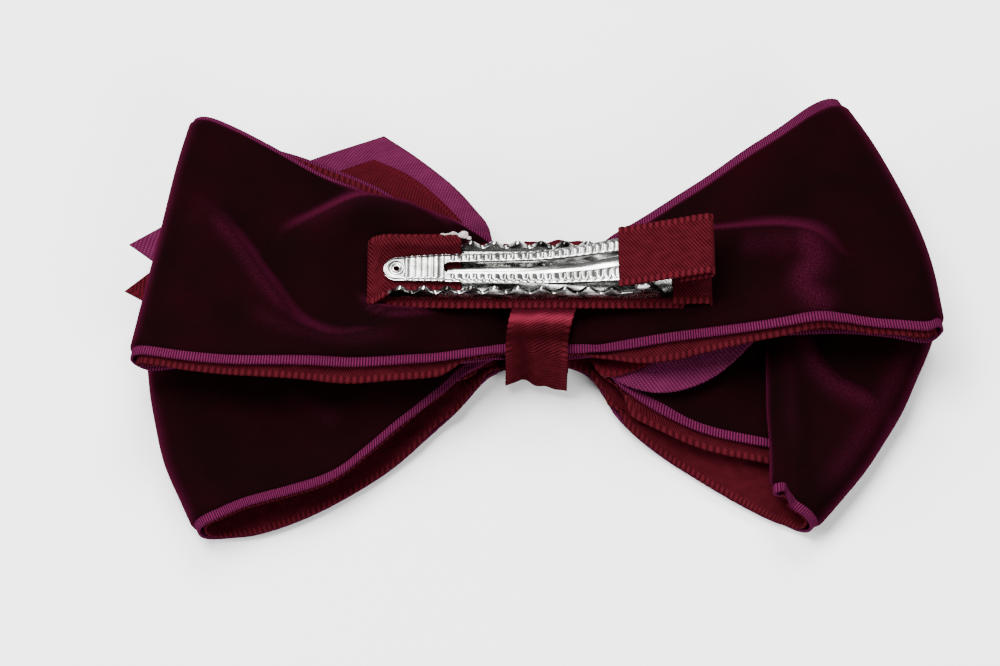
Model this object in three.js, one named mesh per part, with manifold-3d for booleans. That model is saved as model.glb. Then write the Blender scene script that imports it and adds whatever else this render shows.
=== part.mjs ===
// Barrette: a double bow of velvet ribbon on a sprung single-prong clip.
// Units are millimetres, +Z up. The bow lies on its front with the clip on top: +X runs along the
// clip towards its squeezing end, and +Y is the bow's upper side. The origin is the middle of the
// base of the whole object.
import * as THREE from 'three';
import { mergeVertices } from 'three/addons/utils/BufferGeometryUtils.js';
import Module from 'manifold-3d';

const wasm = await Module();
wasm.setup();

// ---------------------------------------------------------------- driving dimensions

// Ribbon stock.
const VELVET = 1.0;
const SATIN = 0.3;
const GROSGRAIN = 0.4;
const GAP = 0.3;
const RIBBON_WIDTH = 38;
const UPPER_LINING_DROP = 2.2; // how far a lining shows past the velvet's lower selvage
const LOWER_LINING_DROP = 0.2;
const NARROW_RIBBON = 10;
const NARROW_THICK = 0.25;

// Where the bow lies: the shift puts the origin under the middle of the finished object.
const SHIFT_X = -0.1;
const SHIFT_Y = -0.15;

// Knot.
const KNOT_X = 1.1;
const KNOT_HALF = 5.6; // half of the pinched, level stretch of every layer
const BAND_THICK = 0.5;
const THREAD = 0.4;
const THREAD_WIDTH = 4.0;
const BAND_FRONT_Z = 1.6;
const PINCH_TOP = 8.0;
const PINCH_BOTTOM = -8.6;

// Clip.
const CLIP_Y = 2.5;
const PLATE = 0.5; // sheet steel of the lower jaw
const JAW_WIDTH = 7.7;
const JAW_LEFT = -22.6;
const JAW_RIGHT = 24.0;
const TEETH_LEFT = -20.5;
const TEETH_RIGHT = 12.2;
const TOOTH_PITCH = 3.3;
const TOOTH_HEIGHT = 1.4;
const WALL_VALLEY = 1.0; // wall height in a valley, over the floor's upper face
const LEVER_THICK = 0.45;
const LEVER_LEFT = -21.2;
const LEVER_RIGHT = 24.0;
const PIN_X = 15.2;
const PIN_RADIUS = 0.6;
const PIN_CLEARANCE = 0.15;
const PIN_HEAD = 1.05;
const EAR_RADIUS = 1.2;
const SPRING_THICK = 0.25;
const GLUE_THICK = 1.3;

// ---------------------------------------------------------------- stack of layers at the knot

// Middle height of each layer, from the band's front face up.
const LAYERS = [
  ['bandFront', BAND_THICK], ['threadFront', THREAD],
  ['lowerFront', VELVET], ['lowerFrontLining', SATIN],
  ['lowerBackLining', SATIN], ['lowerBack', VELVET],
  ['plumTail', GROSGRAIN], ['redTail', GROSGRAIN],
  ['upperFront', VELVET], ['upperFrontLining', SATIN],
  ['upperBackLining', SATIN], ['upperBack', VELVET],
  ['threadBack', THREAD], ['bandBack', BAND_THICK],
  ['glue', GLUE_THICK], ['ribbonUnder', NARROW_THICK],
  ['jawFloor', PLATE], ['ribbonOver', NARROW_THICK],
];
const level = {};
let stackTop = BAND_FRONT_Z;
for (const [name, thick] of LAYERS) {
  level[name] = stackTop + thick / 2;
  stackTop += thick + GAP;
}
const LINING_OFFSET = level.lowerFrontLining - level.lowerFront;
const FLOOR_TOP = level.jawFloor + PLATE / 2;
const PIN_Z = FLOOR_TOP + 3.5;

// Away from the knot the layers spread: how far each has risen or sunk where it is fully spread.
const SPREAD_AT = 20;
const REST_Z = VELVET / 2;
const rise = {
  lowerFront: REST_Z - level.lowerFront,
  lowerBack: 1.2,
  plumTail: 1.35,
  redTail: 1.45,
  upperFront: 1.55,
};

// Height of a spreading layer at x, levelling off smoothly on both sides.
function layerZ(name, x) {
  const out = Math.abs(x - KNOT_X) - KNOT_HALF;
  const s = THREE.MathUtils.clamp(out / (SPREAD_AT - KNOT_HALF), 0, 1);
  return level[name] + rise[name] * s * s * (3 - 2 * s);
}

// ---------------------------------------------------------------- solids

// Merges shared vertices, so that only positions count, and drops triangles left without area.
function closed(geometry) {
  geometry.deleteAttribute('normal');
  geometry.deleteAttribute('uv');
  const merged = mergeVertices(geometry, 1e-4);
  const kept = [];
  for (let n = 0; n < merged.index.count; n += 3) {
    const [a, b, c] = [0, 1, 2].map((k) => merged.index.getX(n + k));
    if (a !== b && b !== c && c !== a) kept.push(a, b, c);
  }
  merged.setIndex(kept);
  return merged;
}

function toManifold(geometry) {
  const clean = closed(geometry.clone());
  return new wasm.Manifold(new wasm.Mesh({
    numProp: 3,
    vertProperties: new Float32Array(clean.attributes.position.array),
    triVerts: new Uint32Array(clean.index.array),
  }));
}

function fromManifold(solid) {
  const mesh = solid.getMesh();
  const geometry = new THREE.BufferGeometry();
  geometry.setAttribute('position', new THREE.BufferAttribute(mesh.vertProperties, 3));
  geometry.setIndex(new THREE.BufferAttribute(mesh.triVerts, 1));
  return geometry;
}

// A thin closed solid on both sides of the surface point(u, v), u and v from 0 to 1.
// lower and upper give the two faces' distances along the surface normal.
function sheetSolid(point, { along, across, lower, upper }) {
  const step = 1e-3;
  const positions = [];
  const index = [];
  const addFace = (distance) => {
    for (let i = 0; i <= along; i++) {
      for (let j = 0; j <= across; j++) {
        const u = i / along;
        const v = j / across;
        const du = point(Math.min(u + step, 1), v).sub(point(Math.max(u - step, 0), v));
        const dv = point(u, Math.min(v + step, 1)).sub(point(u, Math.max(v - step, 0)));
        const normal = du.cross(dv).normalize();
        const shift = typeof distance === 'function' ? distance(u, v) : distance;
        positions.push(...point(u, v).addScaledVector(normal, shift).toArray());
      }
    }
  };
  addFace(lower);
  addFace(upper);
  const row = across + 1;
  const size = row * (along + 1);
  const quad = (a, b, c, d) => index.push(a, b, c, a, c, d);
  for (let i = 0; i < along; i++) {
    for (let j = 0; j < across; j++) {
      const k = i * row + j;
      quad(k, k + 1, k + row + 1, k + row);
      quad(size + k, size + k + row, size + k + row + 1, size + k + 1);
    }
    const first = i * row;
    const last = first + across;
    quad(first, first + row, size + first + row, size + first);
    quad(last, size + last, size + last + row, last + row);
  }
  for (let j = 0; j < across; j++) {
    const end = along * row + j;
    quad(j, size + j, size + j + 1, j + 1);
    quad(end, end + 1, size + end + 1, size + end);
  }
  const geometry = new THREE.BufferGeometry();
  geometry.setAttribute('position', new THREE.Float32BufferAttribute(positions, 3));
  geometry.setIndex(index);
  return facingOut(geometry);
}

// Flips every triangle if the solid's signed volume is negative.
function facingOut(geometry) {
  const position = geometry.attributes.position;
  const index = geometry.index.array;
  const corner = (n) => new THREE.Vector3().fromBufferAttribute(position, index[n]);
  let volume = 0;
  for (let n = 0; n < index.length; n += 3) {
    volume += corner(n).dot(corner(n + 1).cross(corner(n + 2)));
  }
  if (volume < 0) {
    for (let n = 0; n < index.length; n += 3) {
      [index[n], index[n + 1]] = [index[n + 1], index[n]];
    }
  }
  return geometry;
}

// ---------------------------------------------------------------- ribbon surfaces

// A station is one cross-section of a ribbon: its top selvage a, its bottom selvage b, and puff,
// how far its middle stands off the straight line between them.
const station = (a, b, puff = [0, 0, 0]) => ({
  a: new THREE.Vector3(...a),
  b: new THREE.Vector3(...b),
  puff: new THREE.Vector3(...puff),
});

const middle = ({ a, b, puff }) => a.clone().add(b).multiplyScalar(0.5).add(puff);

// The surface through a list of stations: u runs along the ribbon, v from selvage a to selvage b.
function ribbonSurface(stations) {
  const through = (pick) => new THREE.CatmullRomCurve3(stations.map(pick), false, 'centripetal');
  const top = through((s) => s.a);
  const mid = through(middle);
  const bottom = through((s) => s.b);
  return (u, v) => {
    const p = new THREE.Vector3()
      .addScaledVector(top.getPoint(u), (1 - v) * (1 - 2 * v))
      .addScaledVector(mid.getPoint(u), 4 * v * (1 - v))
      .addScaledVector(bottom.getPoint(u), v * (2 * v - 1));
    return p.setZ(Math.max(p.z, REST_Z));
  };
}

// The turn at a loop's end: a half circle between the last station of one panel and the first of
// the other, bulging away from the knot.
function turn(from, to) {
  const angles = [-50, 0, 50].map(THREE.MathUtils.degToRad);
  const line = from.b.clone().sub(from.a).setZ(0).normalize();
  const outward = new THREE.Vector3(line.y, -line.x, 0);
  if (outward.dot(middle(from)) < 0) outward.negate();
  const at = (p, q, angle) => {
    const half = (q.z - p.z) / 2;
    return p.clone().add(q).multiplyScalar(0.5)
      .addScaledVector(outward, Math.abs(half) * Math.cos(angle))
      .add(new THREE.Vector3(0, 0, half * Math.sin(angle)));
  };
  return angles.map((angle) => ({
    a: at(from.a, to.a, angle),
    b: at(from.b, to.b, angle),
    puff: from.puff.clone().add(to.puff).multiplyScalar(0.5),
  }));
}

// A panel lying on one of the spreading layers: plan points only, height from the layer.
function panel(layer, plan) {
  return plan.map(([ax, ay, bx, by, px = 0, py = 0]) => station(
    [ax, ay, layerZ(layer, ax)], [bx, by, layerZ(layer, bx)], [px, py, 0],
  ));
}

const left = KNOT_X - KNOT_HALF;
const right = KNOT_X + KNOT_HALF;

// Plans, from the knot out: top selvage x, y, bottom selvage x, y, and the middle's stand-off.
const UPPER_LEFT_PLAN = [
  [left, PINCH_TOP, left, -7.6],
  [-13.4, 10.4, -14.6, -10.2],
  [-22.6, 14.4, -25, -12.0],
  [-33.4, 19.8, -38, -12.2],
  [-42.0, 25.6, -48.0, -11.4],
  [-46.8, 28.4, -54.2, -9.8],
];
const UPPER_RIGHT_PLAN = [
  [right, PINCH_TOP, right, -7.6],
  [16.6, 13.6, 17.8, -7.3],
  [26.6, 19.9, 29.0, -6.6],
  [35.0, 25.8, 42.0, -5.9],
  [39.6, 29.4, 50.0, -5.5, 1.2, 0.4],
  [41.6, 30.8, 54.8, -5.1, 2.2, 0.8],
];
const LOWER_LEFT_BACK_PLAN = [
  [left, PINCH_TOP, left, -5.2],
  [-13.0, 9.0, -12.2, -10.6],
  [-24.0, 9.5, -21.5, -20.4],
  [-36.0, 8.5, -31.5, -26.6, -1.0, -1.0],
  [-47.0, 6.5, -38.5, -29.2, -2.0, -1.0],
  [-52.6, 4.8, -42.2, -30.2, -2.6, -0.8],
];
const LOWER_LEFT_FRONT_PLAN = [
  [left, PINCH_TOP, left, -7.8],
  [-13.0, 9.0, -11.4, -13.2],
  [-24.0, 9.5, -21.0, -21.4],
  [-36.0, 8.5, -31.5, -27.6, -1.0, -1.0],
  [-47.0, 6.5, -38.5, -29.8, -2.0, -1.0],
  [-52.6, 4.8, -42.2, -30.2, -2.6, -0.8],
];
const LOWER_RIGHT_FRONT_PLAN = [
  [right, PINCH_TOP, right, PINCH_BOTTOM],
  [17.0, 9.0, 13.0, -15.4],
  [30.0, 9.5, 21.0, -20.9],
  [42.0, 7.6, 28.6, -26.0],
  [50.5, 4.8, 33.6, -28.8, 0.6, -0.4],
  [54.4, 2.6, 35.4, -29.6, 0.9, -0.6],
];
// The right loop's end is folded back over its own back panel: the flap reaches this far in.
const FLAP_PLAN = [
  [54.4, 2.6, 35.4, -29.6, 0.9, -0.6],
  [49.0, 6.2, 34.8, -28.8],
  [41.0, 9.2, 34.2, -28.0],
  [33.6, 10.4, 33.4, -27.0, -0.6, 0],
];
// The panel under the flap, from its hidden end back to the knot.
const UNDER_FLAP_PLAN = [
  [38.5, 9.4, 38.0, -20.0],
  [27.0, 9.4, 24.0, -17.2],
  [17.0, 9.0, 13.4, -11.8],
  [right, PINCH_TOP, right, -5.4],
];
const UNDER_FLAP_SINK = [2.9, 2.0, 0.6, 0];

// Heights of the upper bow's back panels at each station: top selvage, bottom selvage, middle's
// stand-off. The middle dips under the clip and swells past its ends.
const UPPER_LEFT_BACK_Z = [
  [0, 0, 0], [2.7, 2.5, -0.9], [4.3, 3.9, -1.6], [5.9, 5.9, 0.4], [5.6, 5.7, 0.5], [3.9, 3.9, 0],
];
const UPPER_RIGHT_BACK_Z = [
  [0, 0, 0], [2.4, 2.4, -0.8], [4.2, 4.2, -0.7], [6.2, 6.2, 0.4], [6.0, 6.1, 0.5], [3.9, 3.9, 0],
];

function upperBack(plan, heights) {
  return plan.map(([ax, ay, bx, by, px = 0, py = 0], k) => {
    const [za, zb, puff] = heights[k];
    return station([ax, ay, level.upperBack + za], [bx, by, level.upperBack + zb], [px, py, puff]);
  });
}

function sunk(stations, amounts) {
  stations.forEach((s, k) => {
    s.a.z -= amounts[k];
    s.b.z -= amounts[k];
  });
  return stations;
}

// Upper bow: one strip whose two ends meet in the front, under the knot.
function upperBowStations() {
  const seam = 0.6;
  const front = (plan) => panel('upperFront', plan);
  const cutEnd = (x) => panel('upperFront', [[x, PINCH_TOP, x, -7.6]]);
  const leftFront = front(UPPER_LEFT_PLAN);
  const leftBack = upperBack(UPPER_LEFT_PLAN, UPPER_LEFT_BACK_Z).reverse();
  const rightBack = upperBack(UPPER_RIGHT_PLAN, UPPER_RIGHT_BACK_Z);
  const rightFront = front(UPPER_RIGHT_PLAN).reverse();
  return [
    ...cutEnd(KNOT_X - seam), ...leftFront, ...turn(leftFront.at(-1), leftBack[0]), ...leftBack,
    ...rightBack, ...turn(rightBack.at(-1), rightFront[0]), ...rightFront, ...cutEnd(KNOT_X + seam),
  ];
}

// Lower bow: one strip from its end under the flap, round the left loop, and back to the flap.
function lowerBowStations() {
  const under = sunk(panel('lowerBack', UNDER_FLAP_PLAN), UNDER_FLAP_SINK);
  const leftBack = panel('lowerBack', LOWER_LEFT_BACK_PLAN);
  const leftFront = panel('lowerFront', LOWER_LEFT_FRONT_PLAN).reverse();
  const rightFront = panel('lowerFront', LOWER_RIGHT_FRONT_PLAN);
  const flap = panel('lowerBack', FLAP_PLAN);
  return [
    ...under, ...leftBack, ...turn(leftBack.at(-1), leftFront[0]), ...leftFront,
    ...rightFront, ...turn(rightFront.at(-1), flap[0]), ...flap,
  ];
}

const FLAP_LINING_REACH = 0.985; // the lower lining stops short of the flap's edge
const STEPS_PER_STATION = 2;
const ACROSS = 3;

function velvetStrip(stations) {
  return sheetSolid(ribbonSurface(stations), {
    along: (stations.length - 1) * STEPS_PER_STATION,
    across: ACROSS,
    lower: -VELVET / 2,
    upper: VELVET / 2,
  });
}

// The lining lies inside the velvet. drop is how far it is set down past the velvet's selvage, and
// reach the share of the velvet's length that it covers.
function liningStrip(stations, side, drop, reach = 1) {
  const velvet = ribbonSurface(stations);
  const vTop = 1 / RIBBON_WIDTH;
  const vBottom = 1 + drop / RIBBON_WIDTH;
  const point = (u, v) => velvet(u * reach, THREE.MathUtils.lerp(vTop, vBottom, v));
  const offset = side * LINING_OFFSET;
  return sheetSolid(point, {
    along: (stations.length - 1) * STEPS_PER_STATION,
    across: ACROSS,
    lower: offset - SATIN / 2,
    upper: offset + SATIN / 2,
  });
}

// Tails: flat streamers between the two bows, gathered at the knot and cut on the slant.
const PLUM_TAIL_PLAN = [
  [-21.6, 28.7, -57.4, 11.0],
  [-17.0, 24.4, -47.0, 5.0],
  [-11.6, 19.4, -34.0, -1.0],
  [-7.2, 14.0, -18.0, -4.4],
  [left, 7.6, left, -5.0],
  [right, 7.6, right, -5.0],
  [13.0, 10.6, 12.0, -10.4],
  [19.0, 13.6, 18.4, -12.4],
  [26.0, 17.2, 25.6, -9.8],
  [33.0, 21.0, 36.6, 2.0],
];
const RED_TAIL_PLAN = [
  [-23.0, 24.0, -57.6, 2.5],
  [-18.4, 21.4, -47.0, -2.0],
  [-13.4, 17.4, -34.0, -5.0],
  [-9.0, 12.6, -18.0, -5.6],
  [left, 7.6, left, -5.0],
  [right, 7.6, right, -5.0],
  [10.4, 9.6, 9.6, -9.6],
  [15.6, 12.4, 15.0, -8.8],
  [21.6, 15.6, 21.6, -3.4],
  [26.4, 18.4, 31.0, 7.0],
];

function tail(layer, plan, thick) {
  const surface = ribbonSurface(panel(layer, plan));
  const point = (u, v) => {
    const p = surface(u, v);
    return p.setZ(layerZ(layer, p.x));
  };
  return sheetSolid(point, {
    along: (plan.length - 1) * STEPS_PER_STATION,
    across: ACROSS,
    lower: -thick / 2,
    upper: thick / 2,
  });
}

// ---------------------------------------------------------------- knot

const PINCH = {
  bottom: PINCH_BOTTOM,
  top: PINCH_TOP,
  front: level.lowerFront - VELVET / 2,
  back: level.upperBack + VELVET / 2,
};

// Outline round the pinched layers in Y and Z, at a distance from them.
function roundPinch(distance) {
  const { bottom, top, front, back } = PINCH;
  const path = new THREE.Path();
  const quarter = Math.PI / 2;
  path.absarc(top, front, distance, -quarter, 0, false);
  path.absarc(top, back, distance, 0, quarter, false);
  path.absarc(bottom, back, distance, quarter, 2 * quarter, false);
  path.absarc(bottom, front, distance, 2 * quarter, 3 * quarter, false);
  path.closePath();
  return path;
}

// A ring round the pinched layers: its side outline in Y and Z, pulled out along X.
function ringRoundPinch(inner, thick, width) {
  const segments = 5;
  const shape = new THREE.Shape(roundPinch(inner + thick).getPoints(segments));
  shape.holes.push(new THREE.Path(roundPinch(inner).getPoints(segments).reverse()));
  const geometry = new THREE.ExtrudeGeometry(shape, { depth: width, bevelEnabled: false });
  return alongX(geometry, KNOT_X - width / 2);
}

// Thread: its turns lie side by side round the pinched layers, as one wound band.
const bindingThread = () => ringRoundPinch(GAP, THREAD, THREAD_WIDTH);

// Band: the satin ribbon that hides the thread.
const centreBand = () => ringRoundPinch(GAP + THREAD + GAP, BAND_THICK, NARROW_RIBBON);

// Lays an outline drawn in Y and Z, extruded from 0, along X from the given start.
function alongX(geometry, start) {
  geometry.applyMatrix4(new THREE.Matrix4().set(
    0, 0, 1, start,
    1, 0, 0, 0,
    0, 1, 0, 0,
    0, 0, 0, 1,
  ));
  return geometry;
}

// Glue: a flattened blob that holds the clip's ribbon to the band.
function gluePad() {
  const half = GLUE_THICK / 2;
  const profile = [[0, -half], [3.4, -half], [4.1, 0], [3.2, half], [0, half]];
  const geometry = new THREE.LatheGeometry(profile.map((p) => new THREE.Vector2(...p)), 20);
  geometry.rotateX(Math.PI / 2);
  geometry.scale(1.1, 0.8, 1);
  geometry.translate(KNOT_X, CLIP_Y, level.glue);
  return geometry;
}

// ---------------------------------------------------------------- clip

// An outline drawn in X and Z, made into a plate of the given thickness in Y.
function plateInXZ(shape, y, thick) {
  const geometry = new THREE.ExtrudeGeometry(shape, {
    depth: thick, bevelEnabled: false, curveSegments: 8,
  });
  geometry.rotateX(Math.PI / 2);
  geometry.translate(0, y + thick / 2, 0);
  return geometry;
}

// An outline drawn in X and Y, made into a plate between two heights.
function plateInXY(shape, bottom, top) {
  const geometry = new THREE.ExtrudeGeometry(shape, {
    depth: top - bottom, bevelEnabled: false, curveSegments: 8,
  });
  geometry.translate(0, 0, bottom);
  return geometry;
}

function roundedPlan(x0, x1, width, radius) {
  const y0 = CLIP_Y - width / 2;
  const y1 = CLIP_Y + width / 2;
  const shape = new THREE.Shape();
  shape.moveTo(x0 + radius, y0);
  shape.lineTo(x1 - radius, y0);
  shape.absarc(x1 - radius, y0 + radius, radius, -Math.PI / 2, 0, false);
  shape.absarc(x1 - radius, y1 - radius, radius, 0, Math.PI / 2, false);
  shape.absarc(x0 + radius, y1 - radius, radius, Math.PI / 2, Math.PI, false);
  shape.absarc(x0 + radius, y0 + radius, radius, Math.PI, 1.5 * Math.PI, false);
  return shape;
}

const pinHole = () => new THREE.Path()
  .absarc(PIN_X, PIN_Z, PIN_RADIUS + PIN_CLEARANCE, 0, 2 * Math.PI, true);

// Side of the lower jaw: a wall with a wavy biting edge that rises to an ear round the pin.
function jawWallShape() {
  const foot = level.jawFloor;
  const valley = FLOOR_TOP + WALL_VALLEY;
  const rear = PIN_X + EAR_RADIUS + 1.6;
  const shape = new THREE.Shape();
  shape.moveTo(TEETH_LEFT, foot);
  shape.lineTo(rear, foot);
  shape.lineTo(rear, valley);
  shape.absarc(PIN_X, PIN_Z, EAR_RADIUS, 0, Math.PI, false);
  shape.lineTo(PIN_X - EAR_RADIUS, valley + 0.4);
  const stepsPerTooth = 4;
  const steps = Math.round((TEETH_RIGHT - TEETH_LEFT) / TOOTH_PITCH * stepsPerTooth);
  for (let k = steps; k >= 0; k--) {
    const x = TEETH_LEFT + (TEETH_RIGHT - TEETH_LEFT) * k / steps;
    const wave = (1 - Math.cos(2 * Math.PI * (x - TEETH_LEFT) / TOOTH_PITCH)) / 2;
    shape.lineTo(x, valley + TOOTH_HEIGHT * wave);
  }
  shape.holes.push(pinHole());
  return shape;
}

function clipBase() {
  const floor = plateInXY(
    roundedPlan(JAW_LEFT, JAW_RIGHT, JAW_WIDTH, 1.6), FLOOR_TOP - PLATE, FLOOR_TOP,
  );
  let solid = toManifold(floor);
  for (const side of [-1, 1]) {
    const y = CLIP_Y + side * (JAW_WIDTH - PLATE) / 2;
    solid = solid.add(toManifold(plateInXZ(jawWallShape(), y, PLATE)));
  }
  return fromManifold(solid);
}

// Side line of the lever: nearly flat over the jaw, rising past the pin to the squeezing end.
const LEVER_LINE = new THREE.CatmullRomCurve3([
  [LEVER_LEFT, 1.04], [-12, 1.42], [1, 1.85], [6.4, 2.8], [12, 4.2], [18, 6.1], [LEVER_RIGHT, 8.2],
].map(([x, z]) => new THREE.Vector3(x, 0, FLOOR_TOP + z)), false, 'centripetal');

// Height of the lever's middle at x, found along its side line.
function leverZ(x) {
  let low = 0;
  let high = 1;
  for (let n = 0; n < 24; n++) {
    const mid = (low + high) / 2;
    if (LEVER_LINE.getPoint(mid).x < x) low = mid;
    else high = mid;
  }
  return LEVER_LINE.getPoint((low + high) / 2).z;
}

const TIP_RADIUS = 1.8;
const LEVER_WIDTHS = [[-19.4, 3.6], [-12, 4.3], [0, 4.9], [8, 6.0], [13, 6.8], [LEVER_RIGHT, 6.8]];

// Width of the lever at x: a round tip, then tapering wider towards the pin.
function leverWidth(x) {
  const fromTip = x - LEVER_LEFT;
  if (fromTip < TIP_RADIUS) {
    const inside = TIP_RADIUS ** 2 - (TIP_RADIUS - fromTip) ** 2;
    return 2 * Math.sqrt(Math.max(inside, 0.1));
  }
  for (let k = 1; k < LEVER_WIDTHS.length; k++) {
    const [x0, w0] = LEVER_WIDTHS[k - 1];
    const [x1, w1] = LEVER_WIDTHS[k];
    if (x <= x1) return w0 + (w1 - w0) * Math.max(0, (x - x0) / (x1 - x0));
  }
  return LEVER_WIDTHS.at(-1)[1];
}

// Pressed ridges on the lever: close ones behind the tip pad, then ribs along both rails.
const RIDGES = { from: -18.2, to: -12.6, pitch: 0.75, height: 0.14 };
const RIBS = { from: -12.0, to: 10.6, pitch: 1.05, height: 0.14 };

function leverEmboss(x) {
  for (const { from, to, pitch, height } of [RIDGES, RIBS]) {
    if (x > from && x < to) return height * Math.max(0, Math.sin(2 * Math.PI * (x - from) / pitch));
  }
  return 0;
}

const SLOT = { from: -12.8, to: 13.4, widthLeft: 1.8, widthRight: 2.7 };

function slotShape() {
  const shape = new THREE.Shape();
  const radius = SLOT.widthLeft / 2;
  shape.moveTo(SLOT.to, CLIP_Y - SLOT.widthRight / 2);
  shape.lineTo(SLOT.to, CLIP_Y + SLOT.widthRight / 2);
  shape.lineTo(SLOT.from + radius, CLIP_Y + radius);
  shape.absarc(SLOT.from + radius, CLIP_Y, radius, Math.PI / 2, 1.5 * Math.PI, false);
  shape.closePath();
  return shape;
}

const TIP_HOLE_X = -19.4;
const TIP_HOLE_RADIUS = 0.45;

// Side of the lever: a lug that hangs from its plate and turns on the pin.
function leverLugShape() {
  const shape = new THREE.Shape();
  shape.moveTo(PIN_X - EAR_RADIUS, leverZ(PIN_X - EAR_RADIUS));
  shape.lineTo(PIN_X - EAR_RADIUS, PIN_Z);
  shape.absarc(PIN_X, PIN_Z, EAR_RADIUS, Math.PI, 2 * Math.PI, false);
  shape.lineTo(PIN_X + EAR_RADIUS, leverZ(PIN_X + EAR_RADIUS));
  shape.holes.push(pinHole());
  return shape;
}

const LUG_THICK = 0.4;
const LUG_INSET = 0.35; // running gap between the lever's lugs and the jaw's ears

// Places along the lever where its plate has a row of points: four to a ridge, wider elsewhere.
function leverRows() {
  const rows = [0, 0.15, 0.5, 1, 1.4, 1.8, 2.4].map((x) => LEVER_LEFT + x);
  for (const { from, to, pitch } of [RIDGES, RIBS]) {
    for (let x = from; x < to; x += pitch / 4) rows.push(x);
    rows.push(to);
  }
  for (let x = RIBS.to + 1; x < LEVER_RIGHT; x += 1) rows.push(x);
  rows.push(LEVER_RIGHT);
  return rows;
}

function clipLever() {
  const rows = leverRows();
  const along = rows.length - 1;
  const rowAt = (u) => {
    const k = Math.min(Math.floor(u * along), along - 1);
    return THREE.MathUtils.lerp(rows[k], rows[k + 1], u * along - k);
  };
  const point = (u, v) => {
    const x = rowAt(u);
    return new THREE.Vector3(x, CLIP_Y + (v - 0.5) * leverWidth(x), leverZ(x));
  };
  const top = (u) => LEVER_THICK / 2 + leverEmboss(rowAt(u));
  const plate = sheetSolid(point, { along, across: 1, lower: -LEVER_THICK / 2, upper: top });
  let solid = toManifold(plate);
  const tall = [FLOOR_TOP - 1, FLOOR_TOP + 12];
  solid = solid.subtract(toManifold(plateInXY(slotShape(), ...tall)));
  const hole = new THREE.Shape()
    .absarc(TIP_HOLE_X, CLIP_Y, TIP_HOLE_RADIUS, 0, 2 * Math.PI, false);
  solid = solid.subtract(toManifold(plateInXY(hole, ...tall)));
  const lugY = JAW_WIDTH / 2 - PLATE - LUG_INSET - LUG_THICK / 2;
  for (const side of [-1, 1]) {
    solid = solid.add(toManifold(plateInXZ(leverLugShape(), CLIP_Y + side * lugY, LUG_THICK)));
  }
  return fromManifold(solid);
}

// Pin: a rivet across the jaw's ears and the lever's lugs, with a head on each side.
function hingePin() {
  const half = JAW_WIDTH / 2 + 0.2;
  const head = 0.4;
  const profile = [
    [0, -half - head], [PIN_HEAD * 0.7, -half - head], [PIN_HEAD, -half - head * 0.4],
    [PIN_HEAD, -half], [PIN_RADIUS, -half], [PIN_RADIUS, half], [PIN_HEAD, half],
    [PIN_HEAD, half + head * 0.4], [PIN_HEAD * 0.7, half + head], [0, half + head],
  ];
  const geometry = new THREE.LatheGeometry(profile.map((p) => new THREE.Vector2(...p)), 20);
  geometry.translate(PIN_X, CLIP_Y, PIN_Z);
  return geometry;
}

// A strip of even thickness along a path in X and Z, with a width that may change along it.
function stripAlong(points, widthAt, thick, along) {
  const curve = new THREE.CatmullRomCurve3(
    points.map(([x, z]) => new THREE.Vector3(x, 0, z)), false, 'centripetal',
  );
  const point = (u, v) => {
    const p = curve.getPoint(u);
    return p.setY(CLIP_Y + (v - 0.5) * widthAt(u));
  };
  return sheetSolid(point, { along, across: 1, lower: -thick / 2, upper: thick / 2 });
}

// Spring: a leaf whose tongue lies under the lever's slot, bent round the pin onto the jaw floor.
function leverSpring() {
  const under = LEVER_THICK / 2 + SPRING_THICK / 2 + GAP;
  const bend = PIN_RADIUS + GAP + SPRING_THICK / 2;
  const tongue = [-11.6, -6, 0, 4, 8, 11].map((x) => [x, leverZ(x) - under]);
  const wrap = [100, 60, 20, -20, -60, -90].map(THREE.MathUtils.degToRad)
    .map((angle) => [PIN_X + bend * Math.cos(angle), PIN_Z + bend * Math.sin(angle)]);
  const foot = [[11, FLOOR_TOP + 0.9], [6, FLOOR_TOP + 0.45], [2, FLOOR_TOP + 0.45]];
  const points = [...tongue, [13.4, PIN_Z + 0.55], ...wrap, ...foot];
  const widthAt = (u) => THREE.MathUtils.lerp(1.2, 3.2, Math.min(1, u * 2.2));
  return stripAlong(points, widthAt, SPRING_THICK, 48);
}

// Ribbon round the lower jaw: on the floor behind the tip, round the tip, underneath, and up over
// the squeezing end.
const LINER_END = -10.3;
const REAR_END = 19.4;

function baseRibbon() {
  const over = level.ribbonOver;
  const under = level.ribbonUnder;
  const half = (over - under) / 2;
  const middleZ = (over + under) / 2;
  const arc = (x, side) => [50, 0, -50].map(THREE.MathUtils.degToRad).map((angle) => [
    x + side * half * Math.cos(angle), middleZ + half * Math.sin(angle),
  ]);
  const tipX = JAW_LEFT - GAP / 2;
  const rearX = JAW_RIGHT + GAP / 2;
  const points = [
    [LINER_END, over], [-16, over], [TEETH_LEFT - 0.4, over], [tipX, over],
    ...arc(tipX, -1), [tipX, under], [-12, under], [0, under], [12, under], [rearX, under],
    ...arc(rearX, 1).reverse(), [rearX, over], [21.6, over], [REAR_END, over],
  ];
  const inside = JAW_WIDTH - 2 * PLATE - 2 * GAP;
  const narrowUntil = 3.4 / (points.length - 1);
  const fullFrom = 7 / (points.length - 1);
  const widthAt = (u) => THREE.MathUtils.lerp(
    inside, NARROW_RIBBON, THREE.MathUtils.smoothstep(u, narrowUntil, fullFrom),
  );
  return stripAlong(points, widthAt, NARROW_THICK, (points.length - 1) * 2);
}

// Ribbon over the lever's squeezing end: on top, round the end, and a little way back beneath.
const COVER_FROM = 11.6;

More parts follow.
